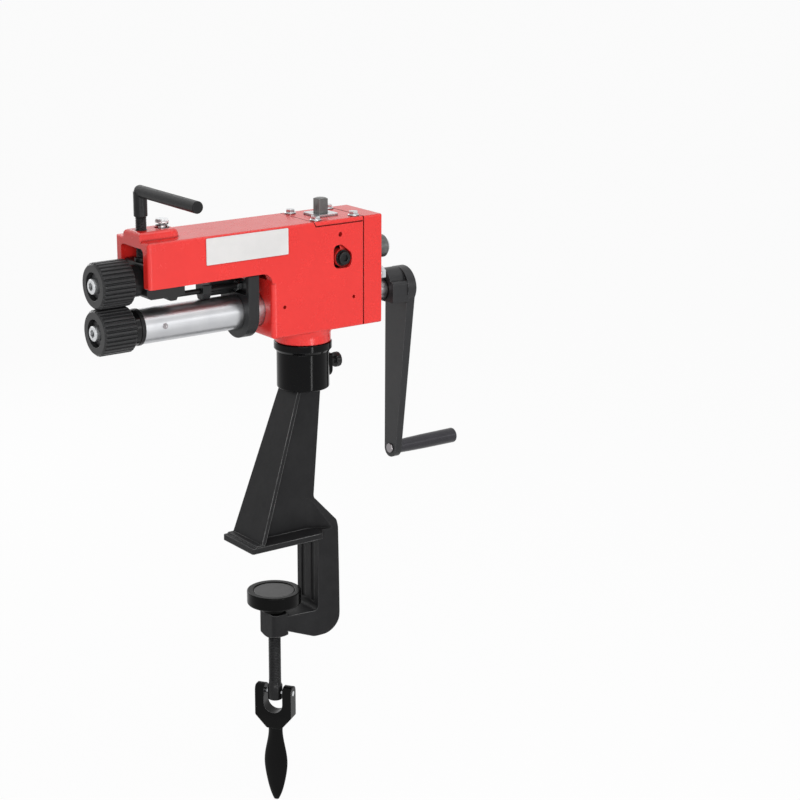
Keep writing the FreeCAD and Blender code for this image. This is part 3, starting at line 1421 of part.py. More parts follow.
def lift_spring():
    """Compression spring under the lift bolt's head, wound from quarter turns of arcs."""
    bottom = spring_seat_z + spring_wire_radius + 0.1
    top = lift_head_z - spring_wire_radius - 0.1
    steps = spring_turns * 4
    climb = (top - bottom) / steps
    path = []
    for step in range(steps):
        points = []
        for share in (0, 0.5, 1):
            angle = math.pi / 2 * (step + share)
            points.append(Vector(lift_bolt_x + spring_mean_radius * math.cos(angle),
                                 spring_mean_radius * math.sin(angle),
                                 bottom + climb * (step + share)))
        path.append(Part.Arc(*points).toShape())
    spine = Part.Wire(path)
    start = path[0].Vertexes[0].Point
    tangent = path[0].tangentAt(path[0].FirstParameter)
    section = Part.Wire([Part.Circle(start, tangent, spring_wire_radius).toShape()])
    coil = spine.makePipeShell([section], True, False)
    turn_gap = 4 * climb - 2 * spring_wire_radius
    print("lift spring least gap between turns, mm:", round(turn_gap, 3))
    return coil


def thrust_pad():
    """Foot under the adjusting screw that presses on the front block."""
    socket = adjuster_tip_radius + running_clearance
    floor_z = thrust_pad_bottom_z + 1.3
    return turned_z([(thrust_pad_bottom_z, 0, 0), (thrust_pad_bottom_z, thrust_pad_radius, 0.8),
                     (thrust_pad_top_z, thrust_pad_radius, 0.8), (thrust_pad_top_z, socket, 0),
                     (floor_z, socket, 0), (floor_z, 0, 0)], adjuster_x)


def adjusting_screw():
    """Threaded rod of the upper roller's adjuster, with its tip in the thrust pad."""
    tip_z = thrust_pad_bottom_z + 1.3 + face_gap
    shoulder_z = thrust_pad_top_z + face_gap
    top_z = lever_collar_z + lever_collar_height - lever_grip_radius
    return turned_z([(tip_z, 0, 0), (tip_z, adjuster_tip_radius, 0),
                     (shoulder_z, adjuster_tip_radius, 0), (shoulder_z, adjuster_radius, 0.5),
                     (top_z, adjuster_radius, 0), (top_z, 0, 0)], adjuster_x)


def lever_bar():
    """Round bar of the lever's grip, across the top of its collar."""
    radius = lever_grip_radius
    return turned_y([(-lever_grip_length, 0, 0), (-lever_grip_length, radius, 1.2),
                     (radius, radius, radius - 0.05), (radius, 0, 0)], adjuster_x, lever_axis_z)


def lever_collar():
    """Sleeve that joins the adjusting screw to the lever's grip."""
    inner = adjuster_radius + fit_clearance
    top = lever_axis_z
    bore_top = lever_collar_z + lever_collar_height - lever_grip_radius + face_gap
    sleeve = turned_z([(lever_collar_z, inner, 0), (lever_collar_z, lever_collar_radius, 0.6),
                       (top, lever_collar_radius, 0), (top, 0, 0), (bore_top, 0, 0),
                       (bore_top, inner, 0)], adjuster_x)
    saddle = rod_along_y(lever_grip_radius + fit_clearance, -lever_collar_radius - 1,
                         lever_collar_radius + 1, adjuster_x, lever_axis_z)
    return sleeve.cut(saddle)


def guide_rod():
    """Rod that the depth stop slides on, through the bracket to the housing."""
    return rod_along_x(rod_radius, bracket_front_x - rod_front_reach,
                       housing_front_x - face_gap, 0, rod_z)


def gauge_bracket():
    """Rimmed bracket clamped round the support tube, with the rod and the stop's guide bar."""
    top = arm_bottom_z - bracket_top_gap
    radius = bracket_radius
    bottom = lower_axis_z - radius
    body = plate_yz([(-radius, bottom, radius - 0.01), (radius, bottom, radius - 0.01),
                     (radius, top, 3), (-radius, top, 3)], bracket_front_x, bracket_rear_x)
    holes = [rod_along_x(tube_radius + fit_clearance, bracket_front_x - 1, bracket_rear_x + 1,
                         0, lower_axis_z),
             rod_along_x(rod_radius + fit_clearance, bracket_front_x - 1, bracket_rear_x + 1,
                         0, rod_z),
             rod_along_x(shaft_radius + 5, bracket_front_x - 1, bracket_rear_x + 1,
                         0, upper_axis_z)]
    bar_near_y = stop_half_width + slide_clearance
    pocket_z = rod_z - rod_nut_across / math.sqrt(3) - face_gap
    holes.append(block(bracket_front_x - 1, bracket_front_x + bracket_pocket_depth,
                       bracket_rim_width - radius, bar_near_y, pocket_z, top + 1))
    bar = block(bracket_front_x - guide_bar_reach, bracket_rear_x, bar_near_y,
                bar_near_y + guide_bar_thickness,
                lower_axis_z + tube_radius + face_gap, rod_z + guide_bar_above_rod)
    return union([body.cut(holes), bar])


def rod_lock_nut():
    """Hexagon nut on the guide rod in the bracket's pocket."""
    nut = hexagon(rod_nut_across, 0, rod_nut_length)
    nut = nut.cut(Part.makeCylinder(rod_radius + fit_clearance, rod_nut_length))
    return stand_on(nut, Vector(bracket_front_x + bracket_pocket_depth, 0, rod_z),
                    Vector(-1, 0, 0))


def rod_sleeve():
    """Spacer sleeve on the guide rod between the bracket and the housing."""
    inner = rod_radius + fit_clearance
    return turned_x([(bracket_rear_x, inner, 0), (bracket_rear_x, rod_sleeve_radius, 0.5),
                     (housing_front_x, rod_sleeve_radius, 0.5), (housing_front_x, inner, 0)],
                    rod_z)


def stop_block():
    """Sliding depth stop, its tapered foot just above the support tube."""
    foot_z = lower_axis_z + tube_radius + face_gap
    top_z = rod_z + stop_above_rod
    body = plate_yz([(-stop_foot_half_width, foot_z, 0), (stop_foot_half_width, foot_z, 0),
                     (stop_half_width, rod_z - 2, 1), (stop_half_width, top_z, 1.5),
                     (-stop_half_width, top_z, 1.5), (-stop_half_width, rod_z - 2, 1)],
                    stop_rear_x - stop_length, stop_rear_x)
    return body.cut(rod_along_x(rod_radius + running_clearance, stop_rear_x - stop_length - 1,
                                stop_rear_x + 1, 0, rod_z))


def lower_rear_collar():
    return flanged_sleeve(casting_rear_x - 1.0 + face_gap, crank_boss_front_x - face_gap,
                          lower_axis_z)


def upper_rear_collar():
    return flanged_sleeve(rear_block_rear_x + face_gap, upper_sleeve_rear_x, upper_axis_z)


half_tooth_deg = 180.0 / gear_teeth

nodes = {
    "stand_casting": stand_casting(),
    "stand_socket": stand_socket(),
    "swivel_ring": swivel_ring(),
    "lock_thumb_screw": lock_thumb_screw(),
    "clamp_pad": clamp_pad(),
    "clamp_screw": clamp_screw(),
    "clamp_handle": clamp_handle(),
    "handle_pin": handle_pin(),
    "head_casting": head_casting(),
    "swivel_post": swivel_post(),
    "top_lid": top_lid(),
    "lid_bolts": lid_bolts(),
    "adjuster_plate": adjuster_plate(),
    "rear_cover": rear_cover(),
    "rear_cover_bolts": rear_cover_bolts(),
    "square_head_adjuster": square_head_adjuster(),
    "pivot_bolts": pivot_bolts(),
    "housing_set_screws": housing_set_screws(),
    "support_tube": support_tube(),
    "tube_front_bush": tube_front_bush(),
    "lower_rear_bush": lower_rear_bush(),
    "gauge_bracket": gauge_bracket(),
    "guide_rod": guide_rod(),
    "rod_lock_nut": rod_lock_nut(),
    "rod_sleeve": rod_sleeve(),
    "stop_block": stop_block(),
    "lower_shaft": lower_shaft(),
    "lower_keys": lower_keys(),
    "lower_gear": spur_gear(lower_axis_z, 90.0, -1),
    "lower_thrust_collar": lower_thrust_collar(),
    "lower_roller": fluted_roller(lower_axis_z),
    "lower_roller_washer": end_washer(lower_axis_z),
    "lower_roller_screw": roller_screw(lower_axis_z),
    "lower_rear_collar": lower_rear_collar(),
    "crank_arm": crank_arm(),
    "crank_set_screw": crank_set_screw(),
    "crank_end_screw": crank_end_screw(),
    "grip_axle": grip_axle(),
    "crank_grip": crank_grip(),
    "front_bearing_block": front_bearing_block(),
    "front_bearing_bush": front_bearing_bush(),
    "rear_bearing_block": rear_bearing_block(),
    "rear_bearing_bush": rear_bearing_bush(),
    "lift_bolt": lift_bolt(),
    "lift_spring": lift_spring(),
    "upper_shaft": upper_shaft(),
    "upper_keys": upper_keys(),
    "upper_gear": spur_gear(upper_axis_z, 90.0 + half_tooth_deg, 1),
    "upper_roller": fluted_roller(upper_axis_z),
    "upper_roller_washer": end_washer(upper_axis_z),
    "upper_roller_screw": roller_screw(upper_axis_z),
    "upper_rear_collar": upper_rear_collar(),
    "upper_end_screw": upper_end_screw(),
    "thrust_pad": thrust_pad(),
    "adjusting_screw": adjusting_screw(),
    "lever_collar": lever_collar(),
    "lever_grip": lever_bar(),
}

os.makedirs("parts", exist_ok=True)
for name, shape in nodes.items():
    if not shape.isValid():
        print("not valid:", name)
    print(name, len(shape.Solids), round(shape.Volume / 1000, 2))
    shape.exportStep("parts/" + name + ".step")
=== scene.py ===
"""Looks of a hand cranked bead roller on its bench clamp stand.

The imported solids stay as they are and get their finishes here. Threads, knurling, the pad's
faced disc, the tube's small screw and the bare name plate are new meshes, worked out on
grids with numpy. Units are metres.
"""

import logging
import math
from dataclasses import dataclass
from enum import Enum
from typing import ClassVar

import bpy
import numpy as np
from mathutils import Matrix, Vector


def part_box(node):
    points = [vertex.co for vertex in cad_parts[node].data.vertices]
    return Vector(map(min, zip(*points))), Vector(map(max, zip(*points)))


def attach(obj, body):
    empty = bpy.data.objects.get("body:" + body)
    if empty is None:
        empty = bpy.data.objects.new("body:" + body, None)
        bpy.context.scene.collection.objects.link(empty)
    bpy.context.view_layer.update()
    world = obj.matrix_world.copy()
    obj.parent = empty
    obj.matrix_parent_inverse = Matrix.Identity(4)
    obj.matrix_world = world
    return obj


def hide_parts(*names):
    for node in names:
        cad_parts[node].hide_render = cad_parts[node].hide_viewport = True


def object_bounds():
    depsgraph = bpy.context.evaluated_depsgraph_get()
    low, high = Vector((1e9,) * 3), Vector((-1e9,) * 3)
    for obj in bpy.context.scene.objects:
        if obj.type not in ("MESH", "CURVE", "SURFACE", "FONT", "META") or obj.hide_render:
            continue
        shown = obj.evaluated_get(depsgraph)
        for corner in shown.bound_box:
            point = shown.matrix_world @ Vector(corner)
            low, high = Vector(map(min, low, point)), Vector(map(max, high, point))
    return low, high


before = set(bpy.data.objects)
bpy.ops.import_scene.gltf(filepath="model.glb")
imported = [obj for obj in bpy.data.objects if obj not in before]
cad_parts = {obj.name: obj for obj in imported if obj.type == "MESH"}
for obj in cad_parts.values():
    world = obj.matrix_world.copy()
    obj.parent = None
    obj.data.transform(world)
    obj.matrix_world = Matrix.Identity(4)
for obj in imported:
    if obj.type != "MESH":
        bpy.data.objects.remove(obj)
CAD_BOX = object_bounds()
LOG = logging.getLogger("bead_roller")
MM = 0.001

# Two levels each: where an effect starts and where it is full.
EDGE_FACING = (0.985, 0.80)
EDGE_BREAKUP_MOTTLE = (0.35, 0.60)
TONE_MOTTLE = (0.30, 0.70)
GLOSS_HEIGHT = (0.25, 0.75)
OPEN_SHARE = (0.95, 0.50)
# Share of an edge's wear and painted highlight that is left where the mottle is lowest.
EDGE_BREAKUP_LEAST = 0.25
# How far edge wear and its painted highlight fade out along X, and what is left beyond.
WEAR_AND_EDGE_LIGHT_FADE_MM = 12.0
WEAR_AND_EDGE_LIGHT_BEYOND = 0.15
# Distance between the crests of a wave texture at scale one.
WAVE_PERIOD = 0.1 * math.pi
# Keeps two corners of a profile at one height in their order.
LEVEL_STEP = 1e-7
# Rings of a knurled band, as shares of the head's length and of the ridges' rise.
KNURL_RINGS = ((0.02, 0.0), (0.06, 0.6), (0.12, 1.0), (0.80, 1.0), (0.88, 0.3), (0.88, 0.0))
# How far its end rings lie inside the head, and its points to a ridge.
KNURL_SUNK = 0.3 * MM
KNURL_POINTS = 6


class Body(str, Enum):
    """Moving bodies that carry new pieces."""

    HEAD = "head"
    PAD = "pressure_pad"
    SCREW = "screw"
    DRIVE = "drive"
    UPPER_DRIVE = "upper_drive"
    LEVER = "adjuster_lever"


class Slot(str, Enum):
    """Finish slots that new pieces share with the solids."""

    ZINC = "zinc"
    BLACK_OXIDE = "black_oxide"


class Axis(Enum):
    """Direction along which a lathe's or belt's fine lines follow each other."""

    X = 0
    Z = 2


def linear(hex_colour: str) -> tuple[float, float, float, float]:
    """Turns an sRGB hex colour into linear RGBA.

    Args:
        hex_colour: Colour as #RRGGBB.

    Returns:
        Red, green, blue and an alpha of one, each channel by the sRGB curve.
    """
    parts = np.array([int(hex_colour[i:i + 2], 16) for i in (1, 3, 5)]) / 255.0
    low, high = parts / 12.92, ((parts + 0.055) / 1.055) ** 2.4
    return (*np.where(parts <= 0.04045, low, high).tolist(), 1.0)


def add_node(tree: bpy.types.NodeTree, kind: str, settings: dict | None = None,
             links: dict | None = None) -> bpy.types.Node:
    """Adds a node with its settings and links.

    Args:
        tree: Node tree that gets the node.
        kind: Blender's name of the node's type.
        settings: Values by attribute name, or by input name (capital letter) or number.
        links: Output sockets by the name or number of the input that they feed.

    Returns:
        The new node.
    """
    node = tree.nodes.new(kind)
    for key, value in (settings or {}).items():
        if isinstance(key, int) or key[0].isupper():
            node.inputs[key].default_value = value
        else:
            setattr(node, key, value)
    for key, source in (links or {}).items():
        tree.links.new(source, node.inputs[key])
    return node


def map_range(tree: bpy.types.NodeTree, value: bpy.types.NodeSocket,
              source: tuple[float, float], target: tuple[float, float]) -> bpy.types.Node:
    """Adds a node that maps a value in a straight line and holds it at both ends.

    Args:
        tree: Node tree that gets the node.
        value: Value to map.
        source: Values that map to the first and second target.
        target: What they map to.

    Returns:
        The new node.
    """
    return add_node(tree, "ShaderNodeMapRange",
                    {"From Min": source[0], "From Max": source[1], "To Min": target[0],
                     "To Max": target[1]}, {"Value": value})


@dataclass(frozen=True)
class Finish:
    """A surface finish: colours, gloss and the relief that its making leaves.

    Lengths are in millimetres. The grain is the fine relief, the mottle the broad change of tone,
    and the edge is how far an edge is rounded and rubbed. Its worn colour is wear with a painted
    highlight, and a painted dark outline where that colour is darker. Grime with painted shade
    darkens what has other surfaces within grime_and_shade_mm of it, such as joint lines and the
    roots of grooves. Edges show wear and painted highlight up to worn_and_lit_edge_to_x_mm along X
    and hardly beyond.
    """

    name: str
    base: str
    shade: str
    worn_and_lit_edge: str
    rough: tuple[float, float]
    metallic: float = 0.0
    specular: float = 0.5
    grain_mm: float = 1.2
    grain_depth_mm: float = 0.02
    mottle_mm: float = 25.0
    edge_mm: float = 0.5
    wear_and_edge_light: float = 0.3
    grime_and_shade: str = "#0A0A0A"
    grime_and_shade_share: float = 0.0
    grime_and_shade_mm: float = 2.0
    worn_and_lit_edge_to_x_mm: float = 1000.0

    def relief(self, tree: bpy.types.NodeTree, place: bpy.types.NodeSocket
               ) -> bpy.types.NodeSocket:
        """Height pattern of the surface, from 0 to 1: even grains of the stated size.

        Args:
            tree: Node tree of the material.
            place: Object coordinates in metres.

        Returns:
            The height socket.
        """
        grain = add_node(tree, "ShaderNodeTexNoise",
                         {"Scale": 1 / (self.grain_mm * MM), "Detail": 3.0, "Roughness": 0.55},
                         {"Vector": place})
        return grain.outputs[0]

    def build(self) -> bpy.types.Material:
        """Makes the material.

        Returns:
            Material whose colour goes from base to shade with a broad noise, to the worn colour on
            edges as wear with a painted highlight, and to the grime colour in narrow places as
            grime with painted shade, with its gloss and relief from finer noises.
        """
        material = bpy.data.materials.new(self.name)
        material.use_nodes = True
        tree = material.node_tree
        tree.nodes.clear()
        place = add_node(tree, "ShaderNodeTexCoord").outputs["Object"]
        mottle = add_node(tree, "ShaderNodeTexNoise",
                          {"Scale": 1 / (self.mottle_mm * MM), "Detail": 4.0, "Roughness": 0.6},
                          {"Vector": place})
        height = self.relief(tree, place)
        rounded = add_node(tree, "ShaderNodeBevel",
                           {"samples": 4, "Radius": self.edge_mm * MM})
        flat = add_node(tree, "ShaderNodeNewGeometry").outputs["Normal"]
        facing = add_node(tree, "ShaderNodeVectorMath", {"operation": "DOT_PRODUCT"},
                          {0: rounded.outputs[0], 1: flat})
        # Worn colour on edges: wear with a painted highlight; where the worn colour is darker, a
        # painted dark outline.
        edge = map_range(tree, facing.outputs["Value"], EDGE_FACING, (0.0, self.wear_and_edge_light))
        edge_breakup = map_range(tree, mottle.outputs[0], EDGE_BREAKUP_MOTTLE, (EDGE_BREAKUP_LEAST, 1.0))
        along = add_node(tree, "ShaderNodeSeparateXYZ", links={0: place}).outputs["X"]
        reach = map_range(tree, along, ((self.worn_and_lit_edge_to_x_mm - WEAR_AND_EDGE_LIGHT_FADE_MM) * MM,
                                        self.worn_and_lit_edge_to_x_mm * MM), (1.0, WEAR_AND_EDGE_LIGHT_BEYOND))
        worn_and_lit_share = add_node(tree, "ShaderNodeMath", {"operation": "MULTIPLY"},
                           {0: edge_breakup.outputs[0], 1: reach.outputs[0]})
        rubbed_and_lit = add_node(tree, "ShaderNodeMath", {"operation": "MULTIPLY", "use_clamp": True},
                          {0: edge.outputs[0], 1: worn_and_lit_share.outputs[0]})
        tone = map_range(tree, mottle.outputs[0], TONE_MOTTLE, (0.0, 1.0))
        ground = add_node(tree, "ShaderNodeMix",
                          {"data_type": "RGBA", 6: linear(self.base), 7: linear(self.shade)},
                          {0: tone.outputs[0]})
        colour = add_node(tree, "ShaderNodeMix",
                          {"data_type": "RGBA", 7: linear(self.worn_and_lit_edge)},
                          {0: rubbed_and_lit.outputs[0], 6: ground.outputs[2]})
        gloss = map_range(tree, height, GLOSS_HEIGHT, self.rough)
        bump = add_node(tree, "ShaderNodeBump",
                        {"Strength": 1.0, "Distance": self.grain_depth_mm * MM},
                        {"Height": height, "Normal": rounded.outputs[0]})
        shader = add_node(tree, "ShaderNodeBsdfPrincipled",
                          {"Metallic": self.metallic, "Specular IOR Level": self.specular},
                          {"Base Color": colour.outputs[2], "Roughness": gloss.outputs[0],
                           "Normal": bump.outputs[0]})
        if self.grime_and_shade_share:
            self.add_grime_and_shade(tree, shader, colour)
        add_node(tree, "ShaderNodeOutputMaterial", links={0: shader.outputs[0]})
        return material

    def add_grime_and_shade(self, tree: bpy.types.NodeTree, shader: bpy.types.Node,
                  colour: bpy.types.Node) -> None:
        """Lays grime with painted shade in narrow places: its colour, and less shine the more of
        it there is.

        The share of grime and painted shade rises from none to grime_and_shade_share, as the share
        of the directions that are open within grime_and_shade_mm falls from one level of
        OPEN_SHARE to the other.

        Args:
            tree: Node tree of the material.
            shader: Its shader.
            colour: Node with the clean surface's colour.
        """
        # Painted shade with grime: darker colour and less shine where other surfaces are close by.
        open_share = add_node(tree, "ShaderNodeAmbientOcclusion",
                              {"samples": 4, "Distance": self.grime_and_shade_mm * MM})
        narrow_shade = map_range(tree, open_share.outputs["AO"], OPEN_SHARE, (0.0, self.grime_and_shade_share))
        dirty_and_shaded = add_node(tree, "ShaderNodeMix",
                         {"data_type": "RGBA", 7: linear(self.grime_and_shade)},
                         {0: narrow_shade.outputs[0], 6: colour.outputs[2]})
        shaded_shine = map_range(tree, narrow_shade.outputs[0], (0.0, 1.0), (self.specular, 0.0))
        tree.links.new(dirty_and_shaded.outputs[2], shader.inputs["Base Color"])
        tree.links.new(shaded_shine.outputs[0], shader.inputs["Specular IOR Level"])


@dataclass(frozen=True)
class SandCast(Finish):
    """Coat on a coarser ground, such as a sand casting: soft dimples under a fine grain.

    The dimples are dimple_mm wide and make up dimple_share of the relief.
    """

    dimple_mm: float = 5.0
    dimple_share: float = 0.6

    def relief(self, tree: bpy.types.NodeTree, place: bpy.types.NodeSocket
               ) -> bpy.types.NodeSocket:
        """Grain and dimples mixed by the dimples' share; see Finish.relief."""
        grain = super().relief(tree, place)
        dimple = add_node(tree, "ShaderNodeTexNoise",
                          {"Scale": 1 / (self.dimple_mm * MM), "Detail": 1.0},
                          {"Vector": place})
        both = add_node(tree, "ShaderNodeMix", {"data_type": "FLOAT", 0: self.dimple_share},
                        {2: grain, 3: dimple.outputs[0]})
        return both.outputs[0]


@dataclass(frozen=True)
class Turned(Finish):
    """Turned, ground or brushed metal: fine lines that follow each other along one axis."""

    axis: Axis = Axis.X
    line_mm: float = 0.6
    stretch: float = 60.0

    def relief(self, tree: bpy.types.NodeTree, place: bpy.types.NodeSocket
               ) -> bpy.types.NodeSocket:
        """Noise squeezed to line_mm along the axis and drawn out across it."""
        tight = 1 / (self.line_mm * MM)
        scale = [tight / self.stretch] * 3
        scale[self.axis.value] = tight
        drawn = add_node(tree, "ShaderNodeMapping", {"Scale": scale}, {"Vector": place})
        lines = add_node(tree, "ShaderNodeTexNoise",
                         {"Scale": 1.0, "Detail": 2.0, "Roughness": 0.5},
                         {"Vector": drawn.outputs[0]})
        return lines.outputs[0]


@dataclass(frozen=True)
class Faced(Finish):
    """Face turned flat on a lathe: fine rings about the upright axis through the origin."""

    line_mm: float = 0.8

    def relief(self, tree: bpy.types.NodeTree, place: bpy.types.NodeSocket
               ) -> bpy.types.NodeSocket:
        """Rings line_mm apart, slightly uneven; see Finish.relief."""
        rings = add_node(tree, "ShaderNodeTexWave",
                         {"wave_type": "RINGS", "rings_direction": "Z",
                          "Scale": WAVE_PERIOD / (self.line_mm * MM), "Distortion": 0.6,
                          "Detail": 2.0}, {"Vector": place})
        return rings.outputs["Fac"]


class Palette:
    """The machine's finishes, each made once."""

    # Coral enamel sprayed on a cast and filled head: even colour, soft gloss, faint peel.
    # Its lighter red edges are a painted highlight, and the dark red in its joints is painted
    # shade with grime.
    head_enamel = SandCast("coral_enamel_on_cast_iron", "#E9302B", "#E42B27", "#F2695F",
                           (0.22, 0.30), specular=0.50, grain_mm=2.2, grain_depth_mm=0.006,
                           dimple_mm=14.0, edge_mm=0.9, wear_and_edge_light=0.35, mottle_mm=70.0,
                           grime_and_shade="#3A0605", grime_and_shade_share=0.85, grime_and_shade_mm=2.4)
    # Satin black paint straight on a sand casting: visible dimples, ridges rubbed grey with a
    # painted highlight.
    # Its darker corners and joints are painted shade with grime.
    stand_satin = SandCast("satin_black_on_sand_casting", "#262627", "#1E1E1F", "#B4B4B4",
                           (0.40, 0.54), specular=0.12, grain_mm=0.9, grain_depth_mm=0.035,
                           dimple_mm=4.0, edge_mm=1.6, wear_and_edge_light=0.65, worn_and_lit_edge_to_x_mm=48.0,
                           grime_and_shade="#080808", grime_and_shade_share=0.6, grime_and_shade_mm=5.0)
    # Gloss black enamel on a machined collar: mirror-like bands along its height.
    collar_gloss = Finish("gloss_black_enamel", "#0A0A0B", "#070708", "#7A7A7C",
                          (0.09, 0.15), specular=0.10, grain_mm=3.0, grain_depth_mm=0.003,
                          edge_mm=0.6, wear_and_edge_light=0.50)
    # Gloss black paint on the turned pad, rubbed at its rims with a painted highlight; painted
    # shade with grime in its corners.
    pad_gloss = Finish("gloss_black_on_turned_pad", "#070707", "#050505", "#A4A4A4",
                       (0.14, 0.24), specular=0.09, grain_mm=1.6, grain_depth_mm=0.008,
                       edge_mm=0.7, wear_and_edge_light=0.60, grime_and_shade_share=0.5, grime_and_shade_mm=3.0)
    # Satin black paint on a forged crank: smoother than the casting, slightly warmer.
    crank_satin = SandCast("satin_black_on_forging", "#242426", "#1D1D1F", "#7E7E80",
                           (0.32, 0.44), specular=0.36, grain_mm=0.8, grain_depth_mm=0.015,
                           dimple_mm=6.0, edge_mm=1.0, wear_and_edge_light=0.45,
                           grime_and_shade="#080808", grime_and_shade_share=0.6, grime_and_shade_mm=3.0)
    # Black oxide on the turned crank grip, polished by the hand.
    grip_oxide = Turned("black_oxide_hand_polished", "#302F34", "#29282D", "#85848A",
                        (0.26, 0.36), metallic=0.4, grain_depth_mm=0.003, axis=Axis.X,
                        line_mm=0.5, edge_mm=0.8, wear_and_edge_light=0.40)
    # Matt black grip of the lever: a dipped coat with a fine leathery grain.
    lever_grip_black = SandCast("dipped_black_grip_coat", "#202021", "#171718", "#5A5A5C",
                                (0.34, 0.48), specular=0.16, grain_mm=0.7,
                                grain_depth_mm=0.06, dimple_mm=2.6, edge_mm=0.8, wear_and_edge_light=0.30)
    # Milled block with a black phosphate coat: matt with faint cutter lines.
    block_phosphate = Turned("black_phosphate_on_milled_steel", "#1D1E1F", "#161719", "#7A7C7E",
                             (0.36, 0.50), specular=0.30, grain_depth_mm=0.005, axis=Axis.X,
                             line_mm=0.8, edge_mm=0.6, wear_and_edge_light=0.50,
                             grime_and_shade="#060606", grime_and_shade_share=0.6, grime_and_shade_mm=3.0)
    # Hot black oxide on turned tool steel, oiled: painted shade in the roots, softly rubbed ridges
    # with a painted highlight.
    roller_oxide = Turned("black_oxide_on_tool_steel", "#2B2B2C", "#232324", "#9A9C9E",
                          (0.28, 0.38), specular=0.28, grain_depth_mm=0.002,
                          axis=Axis.X, line_mm=0.5, edge_mm=0.7, wear_and_edge_light=0.30,
                          grime_and_shade="#0A0A0B", grime_and_shade_share=0.5, grime_and_shade_mm=3.0)
    # Black oxide on small turned parts and fasteners.
    oxide = Turned("black_oxide_on_mild_steel", "#212122", "#19191A", "#8C8E90",
                   (0.26, 0.38), metallic=0.2, specular=0.22, grain_depth_mm=0.004,
                   axis=Axis.Z, line_mm=0.5, edge_mm=0.5, wear_and_edge_light=0.50,
                   grime_and_shade="#050505", grime_and_shade_share=0.6, grime_and_shade_mm=1.5)
    # Drop-forged fork and paddle in black oxide: smooth, dark and slightly oily.
    forged_oxide = Finish("black_oxide_on_drop_forging", "#090909", "#050505", "#9A9A9C",
                          (0.12, 0.20), specular=0.10, grain_mm=2.4, grain_depth_mm=0.008,
                          edge_mm=0.8, wear_and_edge_light=0.55)
    # Blackened thrust collar, polished by its bush: a dark mirror.
    collar_polished = Turned("black_oxide_polished_collar", "#1A1A1B", "#121213", "#B0B0B2",
                             (0.08, 0.16), metallic=0.5, grain_depth_mm=0.001, axis=Axis.X,
                             line_mm=0.4, edge_mm=0.4, wear_and_edge_light=0.60)
    # Square post and upper rear collar: thin oxide worn to grey steel.
    worn_oxide = Turned("worn_oxide_on_bright_steel", "#6E6F6E", "#525251", "#B4B4B2",
                        (0.28, 0.42), metallic=0.7, grain_depth_mm=0.006, axis=Axis.Z,
                        line_mm=0.7, edge_mm=0.6, wear_and_edge_light=0.60, mottle_mm=6.0)
    # Steel face of the pressure pad, faced on the lathe and rubbed by benches.
    faced_pad = Faced("faced_steel_under_thin_oxide", "#3B3B3B", "#303030", "#9A9A9A",
                      (0.36, 0.50), metallic=0.35, grain_depth_mm=0.006, line_mm=0.8,
                      edge_mm=0.4, wear_and_edge_light=0.40, mottle_mm=12.0)
    # Ground and polished steel tube: fine rings round it, broad soft reflections.
    # Its lighter edges are a painted highlight.
    tube_polish = Turned("polished_steel_tube", "#C6C7C9", "#BBBCBF", "#E4E5E7",
                         (0.28, 0.38), metallic=1.0, grain_depth_mm=0.0012, axis=Axis.X,
                         line_mm=0.4, edge_mm=1.0, wear_and_edge_light=0.80)
    # Ground shaft steel, duller than the tube.
    shaft_ground = Turned("ground_shaft_steel", "#9A9698", "#8A8688", "#C9C5C7",
                          (0.22, 0.34), metallic=1.0, grain_depth_mm=0.002, axis=Axis.X,
                          line_mm=0.5, edge_mm=0.3, wear_and_edge_light=0.4)
    # Bright zinc plate: pale, a little blue, with a fine spangle; oily dirt and painted shade at
    # its roots.
    # Its darker edges are a painted dark reflection.
    zinc_plate = Finish("bright_zinc_plate", "#D6D8DA", "#C4C7CA", "#7C7876",
                        (0.18, 0.30), metallic=1.0, grain_mm=0.9, grain_depth_mm=0.004,
                        mottle_mm=3.0, edge_mm=0.4, wear_and_edge_light=0.55,
                        grime_and_shade="#14110F", grime_and_shade_share=0.95, grime_and_shade_mm=3.0)
    # Zinc on the heads of the cap screws and lift bolt: pale and frosted, painted shade in the
    # grooves.
    # Its darker edges are a painted dark reflection.
    zinc_head = Finish("frosted_zinc_plate", "#E0E1E2", "#C9CBCD", "#8A8684",
                       (0.34, 0.48), metallic=0.9, grain_mm=0.8, grain_depth_mm=0.012,
                       mottle_mm=2.2, edge_mm=0.4, wear_and_edge_light=0.45,
                       grime_and_shade="#0C0B0B", grime_and_shade_share=0.85, grime_and_shade_mm=2.0)
    # Hardened washer under the roller's screw: dull grey oxide.
    washer_grey = Turned("thin_oxide_on_hardened_washer", "#5B5B5D", "#474749", "#9C9C9E",
                         (0.32, 0.46), metallic=0.5, grain_depth_mm=0.004, axis=Axis.X,
                         line_mm=0.6, edge_mm=0.5, wear_and_edge_light=0.5)
    # Sintered bronze bush: warm, matt, oil-dark pores.
    bronze = Finish("sintered_bronze", "#A5783E", "#8A6230", "#C99B5E", (0.36, 0.52),
                    metallic=1.0, grain_mm=0.5, grain_depth_mm=0.01, edge_mm=0.25)
    # Oil-tempered spring wire.
    spring_wire = Finish("oil_tempered_wire", "#6A6A6C", "#545456", "#9A9A9C", (0.28, 0.42),
                         metallic=1.0, grain_mm=0.6, grain_depth_mm=0.003, edge_mm=0.15)
    # Satin aluminium plate with a pale lacquer, brushed along its length, left bare.
    plate_brushed = Turned("lacquered_aluminium_plate", "#DCDAD9", "#D4D3D2", "#F0EFEE",
                           (0.34, 0.46), metallic=0.25, grain_depth_mm=0.0015, axis=Axis.Z,
                           line_mm=0.35, stretch=90.0, edge_mm=0.15, wear_and_edge_light=0.3)

    def __init__(self) -> None:
        """Starts with nothing made."""
        self.made: dict[str, bpy.types.Material] = {}

